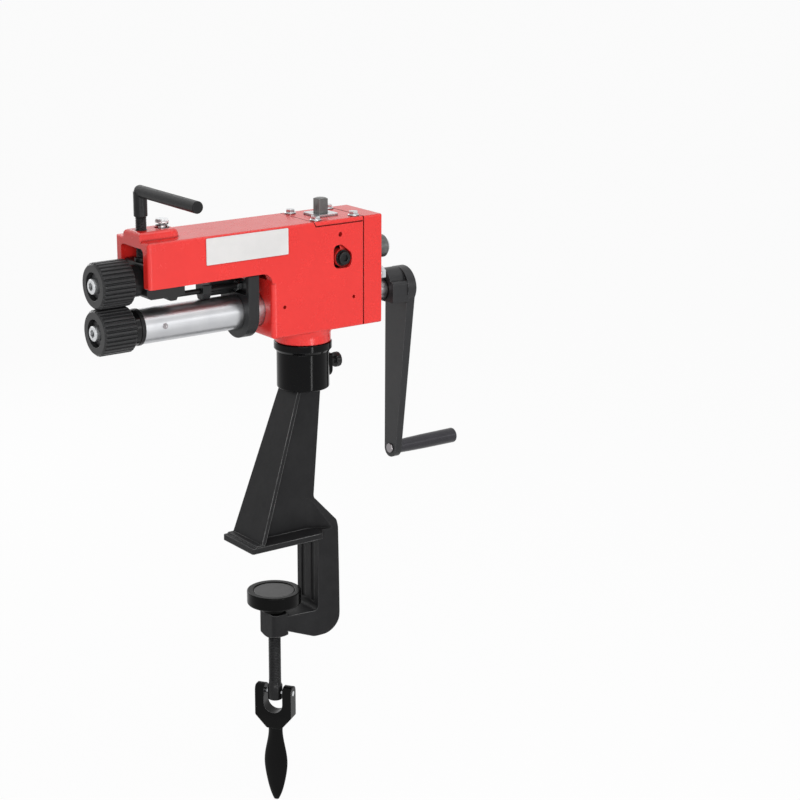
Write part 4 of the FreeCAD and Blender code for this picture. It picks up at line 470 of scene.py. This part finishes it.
    def material(self, finish: Finish) -> bpy.types.Material:
        """Material of a finish, made at its first use.

        Args:
            finish: One of the palette's finishes.

        Returns:
            The shared material.
        """
        if finish.name not in self.made:
            self.made[finish.name] = finish.build()
        return self.made[finish.name]

    def dress(self, finish: Finish, *nodes: str) -> None:
        """Gives solids their finish.

        Args:
            finish: Finish to use.
            nodes: Names of the solids' nodes.
        """
        for name in nodes:
            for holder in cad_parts[name].material_slots:
                holder.material = self.material(finish)
            LOG.info("%s: %s", name, finish.name)

    def piece(self, name: str, mesh: bpy.types.Mesh, body: Body, finish: Finish, slot: Slot,
              stands_for: tuple[str, ...] = ()) -> bpy.types.Object:
        """Makes a new piece that rides on a body.

        Args:
            name: The piece's name.
            mesh: Its finished mesh, in place.
            body: Body that it moves with.
            finish: Its finish.
            slot: Record slot that the finish belongs to; not used.
            stands_for: Nodes that it replaces in the picture.

        Returns:
            The new object.
        """
        piece = bpy.data.objects.new(name, mesh)
        bpy.context.scene.collection.objects.link(piece)
        mesh.materials.append(self.material(finish))
        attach(piece, body.value)
        if stands_for:
            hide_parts(*stands_for)
        LOG.info("%s: new, %d faces, %s", name, len(mesh.polygons), finish.name)
        return piece


def grid_mesh(name: str, grid: np.ndarray, ring_of_rows: bool = False,
              sharp_deg: float = 32.0) -> bpy.types.Mesh:
    """Closed mesh over a grid of points whose columns run round the form.

    Row i joins row i + 1 with quads and the last column joins the first. The two end rows
    are closed by fans to their middles, or joined to each other where the rows form a ring.
    Faces are turned round where the enclosed volume comes out negative, so they face out.

    Args:
        name: Mesh name.
        grid: Points as (rows, columns, 3), in metres.
        ring_of_rows: Whether the last row joins the first.
        sharp_deg: Angle past which an edge stays sharp.

    Returns:
        The mesh, smooth but for its sharp edges.
    """
    rows, columns, _ = grid.shape
    steps = rows if ring_of_rows else rows - 1
    near = (np.arange(steps)[:, None] * columns)
    far = ((np.arange(steps) + 1) % rows)[:, None] * columns
    left, right = np.arange(columns)[None], ((np.arange(columns) + 1) % columns)[None]
    faces = np.stack([near + left, near + right, far + right, far + left], -1).reshape(-1, 4)
    points = grid.reshape(-1, 3)
    quads, fans = faces, np.empty((0, 3), int)
    if not ring_of_rows:
        points = np.concatenate([points, grid[0].mean(0)[None], grid[-1].mean(0)[None]])
        left, right, last = left[0], right[0], (rows - 1) * columns
        start = np.stack([np.full(columns, rows * columns), right, left], -1)
        end = np.stack([np.full(columns, rows * columns + 1), last + left, last + right], -1)
        fans = np.concatenate([start, end])
    triangles = np.concatenate([quads[:, [0, 1, 2]], quads[:, [0, 2, 3]], fans])
    a, b, c = (points[triangles[:, i]] for i in range(3))
    if np.einsum("ij,ij->i", a, np.cross(b, c)).sum() < 0:
        quads, fans = quads[:, ::-1], fans[:, ::-1]
    mesh = bpy.data.meshes.new(name)
    mesh.from_pydata(points.tolist(), [], quads.tolist() + fans.tolist())
    mesh.polygons.foreach_set("use_smooth", np.ones(len(mesh.polygons), bool))
    mesh.set_sharp_from_angle(angle=math.radians(sharp_deg))
    mesh.update()
    return mesh


@dataclass(frozen=True)
class Thread:
    """Right-hand screw thread between two heights, in metres.

    The flats at the crest and the root are each flat_share of a pitch, and run_out is how
    much of a pitch the thread takes to fade in at its ends.
    """

    flat_share: ClassVar[float] = 0.125
    run_out: ClassVar[float] = 0.5
    rows_per_turn: ClassVar[int] = 10

    low: float
    high: float
    pitch: float
    depth: float

    def groove(self, height: np.ndarray, angle: np.ndarray) -> np.ndarray:
        """Depth cut into the rod at a height and angle.

        The share of a turn that a point lies past the crest's helix is height over pitch
        less angle over a full turn. The depth goes up and down with it as a trapezoid, and
        fades in at each end.

        Args:
            height: Heights as (rows, 1).
            angle: Angles as (1, columns).

        Returns:
            Depths as (rows, columns).
        """
        share = np.mod(height / self.pitch - angle / (2 * math.pi), 1.0)
        slope = 1 - 2 * self.flat_share
        cut = np.clip((np.abs(2 * share - 1) - self.flat_share) / slope, 0, 1)
        run_in = np.minimum(height - self.low, self.high - height) / (self.run_out * self.pitch)
        return self.depth * cut * np.clip(run_in, 0, 1)


def turned_screw(name: str, profile: list[tuple[float, float]], thread: Thread,
                 centre: tuple[float, float], columns: int = 56) -> bpy.types.Mesh:
    """Upright turned rod with a real thread.

    The radius at a height is the profile's, by straight lines between its corners, less the
    thread's groove at that height and angle.

    Args:
        name: Mesh name.
        profile: Corners as (height, radius), upwards.
        thread: The thread cut into it.
        centre: Axis place as (x, y).
        columns: Points round the axis.

    Returns:
        The closed mesh.
    """
    heights, radii = np.array(profile).T
    heights = heights + np.arange(len(heights)) * LEVEL_STEP
    fine = np.arange(thread.low, thread.high, thread.pitch / thread.rows_per_turn)
    height = np.unique(np.concatenate([heights, fine]))[:, None]
    angle = np.linspace(0, 2 * math.pi, columns, endpoint=False)[None]
    radius = np.interp(height, heights, radii) - thread.groove(height, angle)
    grid = np.stack([centre[0] + radius * np.cos(angle), centre[1] + radius * np.sin(angle),
                     np.broadcast_to(height, radius.shape)], -1)
    return grid_mesh(name, grid)


def knurled_band(name: str, radius: float, length: float, start: Vector, along: float,
                 ridges: int = 40, rise: float = 0.22 * MM) -> bpy.types.Mesh:
    """Thin band of straight ridges round a cap screw's head, on an axis along X.

    The outer radius is the head's plus the rise times the absolute sine of half the number
    of ridges times the angle. The rings of KNURL_RINGS take their share of that rise, and
    the end rings lie inside the head.

    Args:
        name: Mesh name.
        radius: Radius of the head.
        length: Length of the head.
        start: Middle of the head's seat.
        along: 1 or -1, the way the head points along X.
        ridges: Number of ridges.
        rise: Height of a ridge.

    Returns:
        The closed mesh.
    """
    stations, shares = np.array(KNURL_RINGS).T
    angle = np.linspace(0, 2 * math.pi, ridges * KNURL_POINTS, endpoint=False)
    ridge = rise * np.abs(np.sin(ridges * angle / 2))
    r = radius + shares[:, None] * ridge[None]
    r[[0, -1]] = radius - KNURL_SUNK
    x = np.broadcast_to(start.x + along * (stations * length)[:, None], r.shape)
    grid = np.stack([x, start.y + r * np.cos(angle), start.z + r * np.sin(angle)], -1)
    return grid_mesh(name, grid, ring_of_rows=True)


def rounded_outline(half_width: float, half_height: float, radius: float,
                    per_corner: int = 7) -> np.ndarray:
    """Outline of a rectangle with quarter circles of one radius at its corners.

    Args:
        half_width: Half the width.
        half_height: Half the height.
        radius: Corner radius.
        per_corner: Points on a quarter circle.

    Returns:
        Points as (4 * per_corner, 2), turning left.
    """
    quarter = np.linspace(0, math.pi / 2, per_corner)
    angle = (quarter[None] + np.arange(4)[:, None] * math.pi / 2).ravel()
    side_u = np.repeat([1, -1, -1, 1], per_corner)
    side_v = np.repeat([1, 1, -1, -1], per_corner)
    return np.stack([side_u * (half_width - radius) + radius * np.cos(angle),
                     side_v * (half_height - radius) + radius * np.sin(angle)], -1)


@dataclass
class StandAssembly:
    """Clamp stand: casting, collar, ring, pressure pad, clamp screw and folding handle.

    The rim of the pad's face goes up by pairs of inset and share of the thickness, and its
    top runs in by shares of the radius.
    """

    pitch: float = 2.0 * MM
    thread_depth: float = 0.7 * MM
    rod_radius: float = 7.2 * MM
    eye_radius: float = 8.6 * MM
    eye_length: float = 18.0 * MM
    eye_rounding: float = 1.5 * MM
    pad_recess: float = 1.5 * MM
    pad_face_radius: float = 23.1 * MM
    pad_face_thickness: float = 0.7 * MM
    pad_face_rim: ClassVar[tuple] = ((0.3 * MM, 0.02), (0.0, 0.2), (0.0, 0.6), (0.4 * MM, 1.0))
    pad_face_rings: ClassVar[tuple] = (0.6, 0.2)
    pad_face_columns: int = 96
    tip_radius: float = 5.0 * MM
    tip_length: float = 16.0 * MM
    chamfer: float = 0.6 * MM
    end_chamfer: float = 1.0 * MM
    eye_cone: float = 2.0 * MM
    thread_past_eye: float = 6.0 * MM
    thread_before_shoulder: float = 3.0 * MM

    def build(self, palette: Palette) -> None:
        """Dresses the stand's solids, cuts the screw's thread and adds the pad's face."""
        palette.dress(palette.stand_satin, "stand_casting")
        palette.dress(palette.pad_gloss, "clamp_pad")
        palette.dress(palette.collar_gloss, "stand_socket", "swivel_ring")
        palette.dress(palette.roller_oxide, "lock_thumb_screw")
        palette.dress(palette.oxide, "clamp_screw")
        palette.dress(palette.forged_oxide, "clamp_handle")
        palette.dress(palette.zinc_plate, "handle_pin")
        palette.dress(palette.shaft_ground, "swivel_post")
        palette.piece("pad_face_ground", self.pad_face(), Body.PAD, palette.faced_pad,
                      Slot.BLACK_OXIDE)
        low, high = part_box("clamp_screw")
        eye_top = low.z + self.eye_length
        shoulder = high.z - self.tip_length
        bend = self.eye_rounding
        corners = [(low.z, self.eye_radius - bend),
                   (low.z + 0.3 * bend, self.eye_radius - 0.3 * bend),
                   (low.z + bend, self.eye_radius),
                   (eye_top - self.end_chamfer, self.eye_radius),
                   (eye_top, self.eye_radius - self.chamfer),
                   (eye_top + self.eye_cone, self.rod_radius),
                   (shoulder - self.chamfer, self.rod_radius),
                   (shoulder, self.rod_radius - self.chamfer),
                   (shoulder, self.tip_radius), (high.z - self.end_chamfer, self.tip_radius),
                   (high.z, self.tip_radius - self.end_chamfer)]
        thread = Thread(eye_top + self.thread_past_eye, shoulder - self.thread_before_shoulder,
                        self.pitch, self.thread_depth)
        mesh = turned_screw("clamp_screw_threaded", corners, thread, (0.0, 0.0))
        palette.piece("clamp_screw_threaded", mesh, Body.SCREW, palette.oxide,
                      Slot.BLACK_OXIDE, ("clamp_screw",))

    def pad_face(self) -> bpy.types.Mesh:
        """Thin faced disc on the floor of the pad's recess, its rim rounded.

        Each row is a circle about the clamp screw's axis: the radius follows the rim up and
        then runs in to the middle.

        Returns:
            The closed mesh.
        """
        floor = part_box("clamp_pad")[1].z - self.pad_recess
        insets, lifts = np.array(self.pad_face_rim).T
        rings = self.pad_face_radius * np.array(self.pad_face_rings)
        radii = np.concatenate([self.pad_face_radius - insets, rings])[:, None]
        heights = floor + self.pad_face_thickness * np.concatenate([lifts, np.ones(len(rings))])
        angle = np.linspace(0, 2 * math.pi, self.pad_face_columns, endpoint=False)[None]
        grid = np.stack([radii * np.cos(angle), radii * np.sin(angle),
                         np.repeat(heights[:, None], self.pad_face_columns, axis=1)], -1)
        return grid_mesh("pad_face_ground", grid)


@dataclass
class HeadAssembly:
    """Head: casting, lid, cover, tube, bracket and the bare name plate.

    The shares of the bush screw's socket are its rim, its edge and its floor.
    """

    plate_left: float = -101.3 * MM
    plate_right: float = 1.5 * MM
    plate_low: float = 335.3 * MM
    plate_high: float = 364.0 * MM
    plate_thickness: float = 0.6 * MM
    plate_corner: float = 1.3 * MM
    plate_edge: float = 0.12 * MM
    border: float = 1.1 * MM
    border_slope: float = 0.25 * MM
    border_drop: float = 0.15 * MM
    bush_screw_x: float = -143.8 * MM
    bush_screw_turn: float = math.radians(4.0)
    bush_screw_radius: float = 3.1 * MM
    bush_screw_rise: float = 0.5 * MM
    bush_screw_sunk: float = 0.4 * MM
    bush_screw_chamfer: float = 0.2 * MM
    bush_screw_columns: int = 36
    socket_shares: tuple[float, float, float] = (0.55, 0.50, 0.44)
    socket_bevel: float = 0.05 * MM
    socket_floor: float = 0.05 * MM

    def build(self, palette: Palette) -> None:
        """Dresses the head's solids and adds the plate."""
        palette.dress(palette.head_enamel, "head_casting", "top_lid", "rear_cover")
        palette.dress(palette.zinc_plate, "lid_bolts", "adjuster_plate", "rear_cover_bolts")
        palette.dress(palette.zinc_plate, "rod_lock_nut")
        palette.dress(palette.worn_oxide, "square_head_adjuster")
        palette.dress(palette.oxide, "pivot_bolts", "housing_set_screws", "tube_front_bush",
                      "guide_rod", "rod_sleeve")
        palette.dress(palette.tube_polish, "support_tube")
        palette.dress(palette.bronze, "lower_rear_bush")
        palette.dress(palette.block_phosphate, "gauge_bracket", "stop_block")
        palette.dress(palette.spring_wire, "lift_spring")
        palette.piece("name_plate_bare", self.plate_mesh(), Body.HEAD, palette.plate_brushed,
                      Slot.ZINC)
        palette.piece("tube_bush_screw", self.bush_screw_mesh(), Body.HEAD,
                      palette.shaft_ground, Slot.BLACK_OXIDE)

    def bush_screw_mesh(self) -> bpy.types.Mesh:
        """Small socket screw in the tube's near side that holds the front bush.

        Each row goes round the screw's axis, which leaves the tube's axis square on at the
        stated turn above level: the rows run up the rim, over the face and down into the
        socket. Those of the socket are hexagons, whose radius is the cosine of 30 degrees
        over that of the angle to the nearest side's middle.

        Returns:
            The closed mesh.
        """
        low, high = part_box("support_tube")
        tube_radius = (high.z - low.z) / 2
        size, rise, chamfer = (self.bush_screw_radius, self.bush_screw_rise,
                               self.bush_screw_chamfer)
        rim, edge, floor = (share * size for share in self.socket_shares)
        radii = np.array([size, size, size - chamfer, rim, edge, floor])
        heights = np.array([-self.bush_screw_sunk, rise - chamfer, rise, rise,
                            rise - self.socket_bevel, self.socket_floor])
        angle = np.arange(self.bush_screw_columns) * math.pi / (self.bush_screw_columns / 2)
        hexagon = math.cos(math.pi / 6) / np.cos(np.mod(angle, math.pi / 3) - math.pi / 6)
        shape = np.where((radii < rim)[:, None], hexagon[None], 1.0)
        side = radii[:, None] * shape
        across, up = side * np.cos(angle), side * np.sin(angle)
        out = tube_radius + np.broadcast_to(heights[:, None], across.shape)
        turn = self.bush_screw_turn
        grid = np.stack([self.bush_screw_x + across,
                         -out * math.cos(turn) + up * math.sin(turn),
                         (low.z + high.z) / 2 + out * math.sin(turn) + up * math.cos(turn)], -1)
        return grid_mesh("tube_bush_screw", grid)

    def plate_mesh(self) -> bpy.types.Mesh:
        """Plate with a raised border: one outline, set in and raised step by step.

        Each row is the plate's rounded outline moved in by an inset and out from the wall
        by a height, so the rows run up the edge, over the border and down to the field.

        Returns:
            The closed mesh on the head's near side.
        """
        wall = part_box("rear_cover")[0].y
        middle = ((self.plate_left + self.plate_right) / 2, (self.plate_low + self.plate_high) / 2)
        half = ((self.plate_right - self.plate_left) / 2, (self.plate_high - self.plate_low) / 2)
        rise = self.plate_thickness
        insets = np.array([0.0, 0.0, self.plate_edge, self.border,
                           self.border + self.border_slope])
        heights = np.array([0.0, rise - self.plate_edge, rise, rise, rise - self.border_drop])
        rows = np.stack([rounded_outline(half[0] - inset, half[1] - inset, self.plate_corner)
                         for inset in insets])
        grid = np.stack([middle[0] + rows[..., 0],
                         np.broadcast_to(wall - heights[:, None], rows.shape[:2]),
                         middle[1] + rows[..., 1]], -1)
        return grid_mesh("name_plate_bare", grid, sharp_deg=18.0)


@dataclass
class DriveAssembly:
    """Lower and upper shafts with their rollers, gears and sleeves, and the crank."""

    head_radius: float = 8.0 * MM
    roller_head_length: float = 8.0 * MM
    crank_head_length: float = 5.6 * MM
    upper_head_length: float = 4.8 * MM

    def build(self, palette: Palette) -> None:
        """Dresses the drive's solids and adds the knurling on the cap screws' heads."""
        palette.dress(palette.roller_oxide, "lower_roller", "upper_roller")
        palette.dress(palette.shaft_ground, "lower_shaft", "upper_shaft", "lower_keys",
                      "upper_keys", "lower_gear", "upper_gear", "lower_rear_collar",
                      "grip_axle")
        palette.dress(palette.washer_grey, "lower_roller_washer", "upper_roller_washer")
        palette.dress(palette.oxide, "crank_set_screw")
        palette.dress(palette.collar_polished, "lower_thrust_collar")
        palette.dress(palette.worn_oxide, "upper_rear_collar")
        palette.dress(palette.zinc_head, "lower_roller_screw", "upper_roller_screw",
                      "crank_end_screw", "upper_end_screw")
        palette.dress(palette.crank_satin, "crank_arm")
        palette.dress(palette.grip_oxide, "crank_grip")
        lengths = {"lower_roller_screw": (self.roller_head_length, -1, Body.DRIVE),
                   "upper_roller_screw": (self.roller_head_length, -1, Body.UPPER_DRIVE),
                   "crank_end_screw": (self.crank_head_length, 1, Body.DRIVE),
                   "upper_end_screw": (self.upper_head_length, 1, Body.UPPER_DRIVE)}
        for name, (length, along, body) in lengths.items():
            low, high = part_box(name)
            face = high.x if along > 0 else low.x
            seat = Vector((face - along * length, 0.0, (low.z + high.z) / 2))
            mesh = knurled_band(name + "_knurl", self.head_radius, length, seat, along)
            palette.piece(name + "_knurl", mesh, body, palette.zinc_head, Slot.ZINC)


@dataclass
class CarrierAssembly:
    """Tilting upper bearings and the lift bolt that draws them up."""

    def build(self, palette: Palette) -> None:
        """Dresses the carrier's solids."""
        palette.dress(palette.block_phosphate, "front_bearing_block", "rear_bearing_block")
        palette.dress(palette.oxide, "front_bearing_bush")
        palette.dress(palette.bronze, "rear_bearing_bush")
        palette.dress(palette.zinc_head, "lift_bolt")


@dataclass
class AdjusterAssembly:
    """Adjusting screw with its foot, collar and lever."""

    pitch: float = 1.75 * MM
    thread_depth: float = 0.6 * MM
    tip_radius: float = 3.4 * MM
    rod_radius: float = 6.0 * MM
    foot_gap: float = 0.3 * MM
    chamfer: float = 0.5 * MM
    thread_past_shoulder: float = 0.6 * MM
    thread_below_top: float = 6.0 * MM

    def build(self, palette: Palette) -> None:
        """Dresses the adjuster's solids and cuts the screw's thread."""
        palette.dress(palette.oxide, "thrust_pad", "lever_collar", "adjusting_screw")
        palette.dress(palette.lever_grip_black, "lever_grip")
        low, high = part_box("adjusting_screw")
        centre = ((low.x + high.x) / 2, (low.y + high.y) / 2)
        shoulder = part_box("thrust_pad")[1].z + self.foot_gap
        corners = [(low.z, self.tip_radius), (shoulder, self.tip_radius),
                   (shoulder, self.rod_radius - self.chamfer),
                   (shoulder + self.chamfer, self.rod_radius), (high.z, self.rod_radius)]
        thread = Thread(shoulder + self.thread_past_shoulder, high.z - self.thread_below_top,
                        self.pitch, self.thread_depth)
        mesh = turned_screw("adjusting_screw_threaded", corners, thread, centre)
        palette.piece("adjusting_screw_threaded", mesh, Body.LEVER, palette.oxide,
                      Slot.BLACK_OXIDE, ("adjusting_screw",))


@dataclass(frozen=True)
class Lamp:
    """Rectangular soft lamp: degrees round and above the machine, metres and watts.

    The azimuth is 0 in front of the machine's near side and grows towards its rear end.
    """

    name: str
    azimuth: float
    elevation: float
    distance: float
    width: float
    height: float
    power: float


@dataclass
class Studio:
    """Pale floor, white surround, soft lamps and the camera.

    The camera is the one that was fitted to the photo. The floor shows plain white by
    floor_white, and the rest of it takes the shadows.
    """

    focal_px: float = 2028.6
    centre_px: tuple[float, float] = (341.64, 400.91)
    image_px: float = 800.0
    position: tuple[float, float, float] = (-1.17505, -1.83067, 0.78064)
    forward: tuple[float, float, float] = (0.548295, 0.790352, -0.273344)
    up: tuple[float, float, float] = (0.157930, 0.223117, 0.961913)
    world_light: float = 0.27
    lamps: tuple[Lamp, ...] = (Lamp("front_softbox", -34.0, 18.0, 1.9, 1.1, 1.0, 15.0),
                               Lamp("tall_strip", 5.0, 0.0, 1.25, 0.12, 0.72, 3.0),
                               Lamp("right_strip", 35.0, 17.0, 1.8, 1.0, 0.35, 1.6),
                               Lamp("top_softbox", 20.0, 74.0, 1.8, 1.4, 1.4, 11.5),
                               Lamp("back_fill", 178.0, 20.0, 1.9, 1.2, 1.0, 9.0))
    floor_half: float = 30.0
    floor_gap: float = 1.0 * MM
    floor_white: float = 0.95
    sensor_mm: float = 36.0
    clip_end: float = 200.0

    def build(self) -> None:
        """Makes the floor, world, lamps and camera."""
        low, high = CAD_BOX
        self.make_floor(low.z - self.floor_gap)
        self.make_world()
        for lamp in self.lamps:
            self.make_lamp(lamp, (low + high) / 2)
        self.make_camera()

    def seen_white(self, tree: bpy.types.NodeTree) -> bpy.types.NodeSocket:
        """One for rays that show the background: from the camera, in gloss and through glass."""
        path = add_node(tree, "ShaderNodeLightPath")
        either = add_node(tree, "ShaderNodeMath", {"operation": "MAXIMUM"},
                          {0: path.outputs["Is Camera Ray"], 1: path.outputs["Is Glossy Ray"]})
        three = add_node(tree, "ShaderNodeMath", {"operation": "MAXIMUM"},
                         {0: either.outputs[0], 1: path.outputs["Is Transmission Ray"]})
        return three.outputs[0]

    def make_floor(self, height: float) -> None:
        """Wide pale floor that keeps a light shadow.

        Args:
            height: Its level, in metres.
        """
        mesh = bpy.data.meshes.new("floor")
        corners = np.array([[-1, -1], [1, -1], [1, 1], [-1, 1]]) * self.floor_half
        points = np.column_stack([corners, np.full(4, height)])
        mesh.from_pydata(points.tolist(), [], [(0, 1, 2, 3)])
        floor = bpy.data.objects.new("floor", mesh)
        bpy.context.scene.collection.objects.link(floor)
        material = bpy.data.materials.new("pale_floor")
        material.use_nodes = True
        tree = material.node_tree
        tree.nodes.clear()
        matt = add_node(tree, "ShaderNodeBsdfDiffuse", {"Color": linear("#F2F2F2")})
        white = add_node(tree, "ShaderNodeEmission", {"Color": linear("#FFFFFF"), "Strength": 1.0})
        share = add_node(tree, "ShaderNodeMath", {"operation": "MULTIPLY", 1: self.floor_white},
                         {0: self.seen_white(tree)})
        both = add_node(tree, "ShaderNodeMixShader",
                        links={0: share.outputs[0], 1: matt.outputs[0], 2: white.outputs[0]})
        add_node(tree, "ShaderNodeOutputMaterial", links={0: both.outputs[0]})
        mesh.materials.append(material)
        LOG.info("floor at %.4f m", height)

    def make_world(self) -> None:
        """White where it is seen, and a softer level where it lights."""
        world = bpy.data.worlds.new("white_surround")
        bpy.context.scene.world = world
        world.use_nodes = True
        tree = world.node_tree
        tree.nodes.clear()
        soft = add_node(tree, "ShaderNodeBackground",
                        {"Color": linear("#FFFFFF"), "Strength": self.world_light})
        white = add_node(tree, "ShaderNodeBackground",
                         {"Color": linear("#FFFFFF"), "Strength": 1.0})
        both = add_node(tree, "ShaderNodeMixShader",
                        links={0: self.seen_white(tree), 1: soft.outputs[0],
                               2: white.outputs[0]})
        add_node(tree, "ShaderNodeOutputWorld", links={0: both.outputs[0]})

    def make_lamp(self, lamp: Lamp, middle: Vector) -> None:
        """Puts up a lamp that is aimed at the machine's middle.

        Args:
            lamp: The lamp.
            middle: The machine's middle.
        """
        turn, lift = math.radians(lamp.azimuth), math.radians(lamp.elevation)
        away = Vector((math.sin(turn) * math.cos(lift), -math.cos(turn) * math.cos(lift),
                       math.sin(lift)))
        data = bpy.data.lights.new(lamp.name, "AREA")
        data.shape = "RECTANGLE"
        data.size, data.size_y, data.energy = lamp.width, lamp.height, lamp.power
        holder = bpy.data.objects.new(lamp.name, data)
        holder.location = middle + away * lamp.distance
        holder.rotation_euler = (-away).to_track_quat("-Z", "Y").to_euler()
        bpy.context.scene.collection.objects.link(holder)

    def make_camera(self) -> None:
        """Camera at the viewing angle, its lens and shift worked out from the frame.

        The lens is the focal length in pixels times the sensor's width over the image's,
        and the shifts are the principal point's offsets from the middle, as shares of it.
        """
        data = bpy.data.cameras.new("camera")
        data.sensor_width = self.sensor_mm
        data.lens = self.focal_px * data.sensor_width / self.image_px
        data.shift_x = (self.image_px / 2 - self.centre_px[0]) / self.image_px
        data.shift_y = (self.centre_px[1] - self.image_px / 2) / self.image_px
        data.clip_end = self.clip_end
        camera = bpy.data.objects.new("camera", data)
        back, up = -Vector(self.forward).normalized(), Vector(self.up).normalized()
        right = up.cross(back).normalized()
        turn = Matrix((right, back.cross(right), back)).transposed().to_4x4()
        camera.matrix_world = Matrix.Translation(Vector(self.position)) @ turn
        bpy.context.scene.collection.objects.link(camera)
        bpy.context.scene.camera = camera


def main() -> None:
    """Dresses the machine, sub-assembly by sub-assembly, and sets up the studio."""
    logging.basicConfig(level=logging.INFO, format="%(message)s")
    bpy.context.scene.view_settings.view_transform = "Standard"
    palette = Palette()
    for assembly in (StandAssembly(), HeadAssembly(), DriveAssembly(), CarrierAssembly(),
                     AdjusterAssembly()):
        LOG.info("%s", type(assembly).__name__)
        assembly.build(palette)
    Studio().build()


if __name__ == "__main__":
    main()
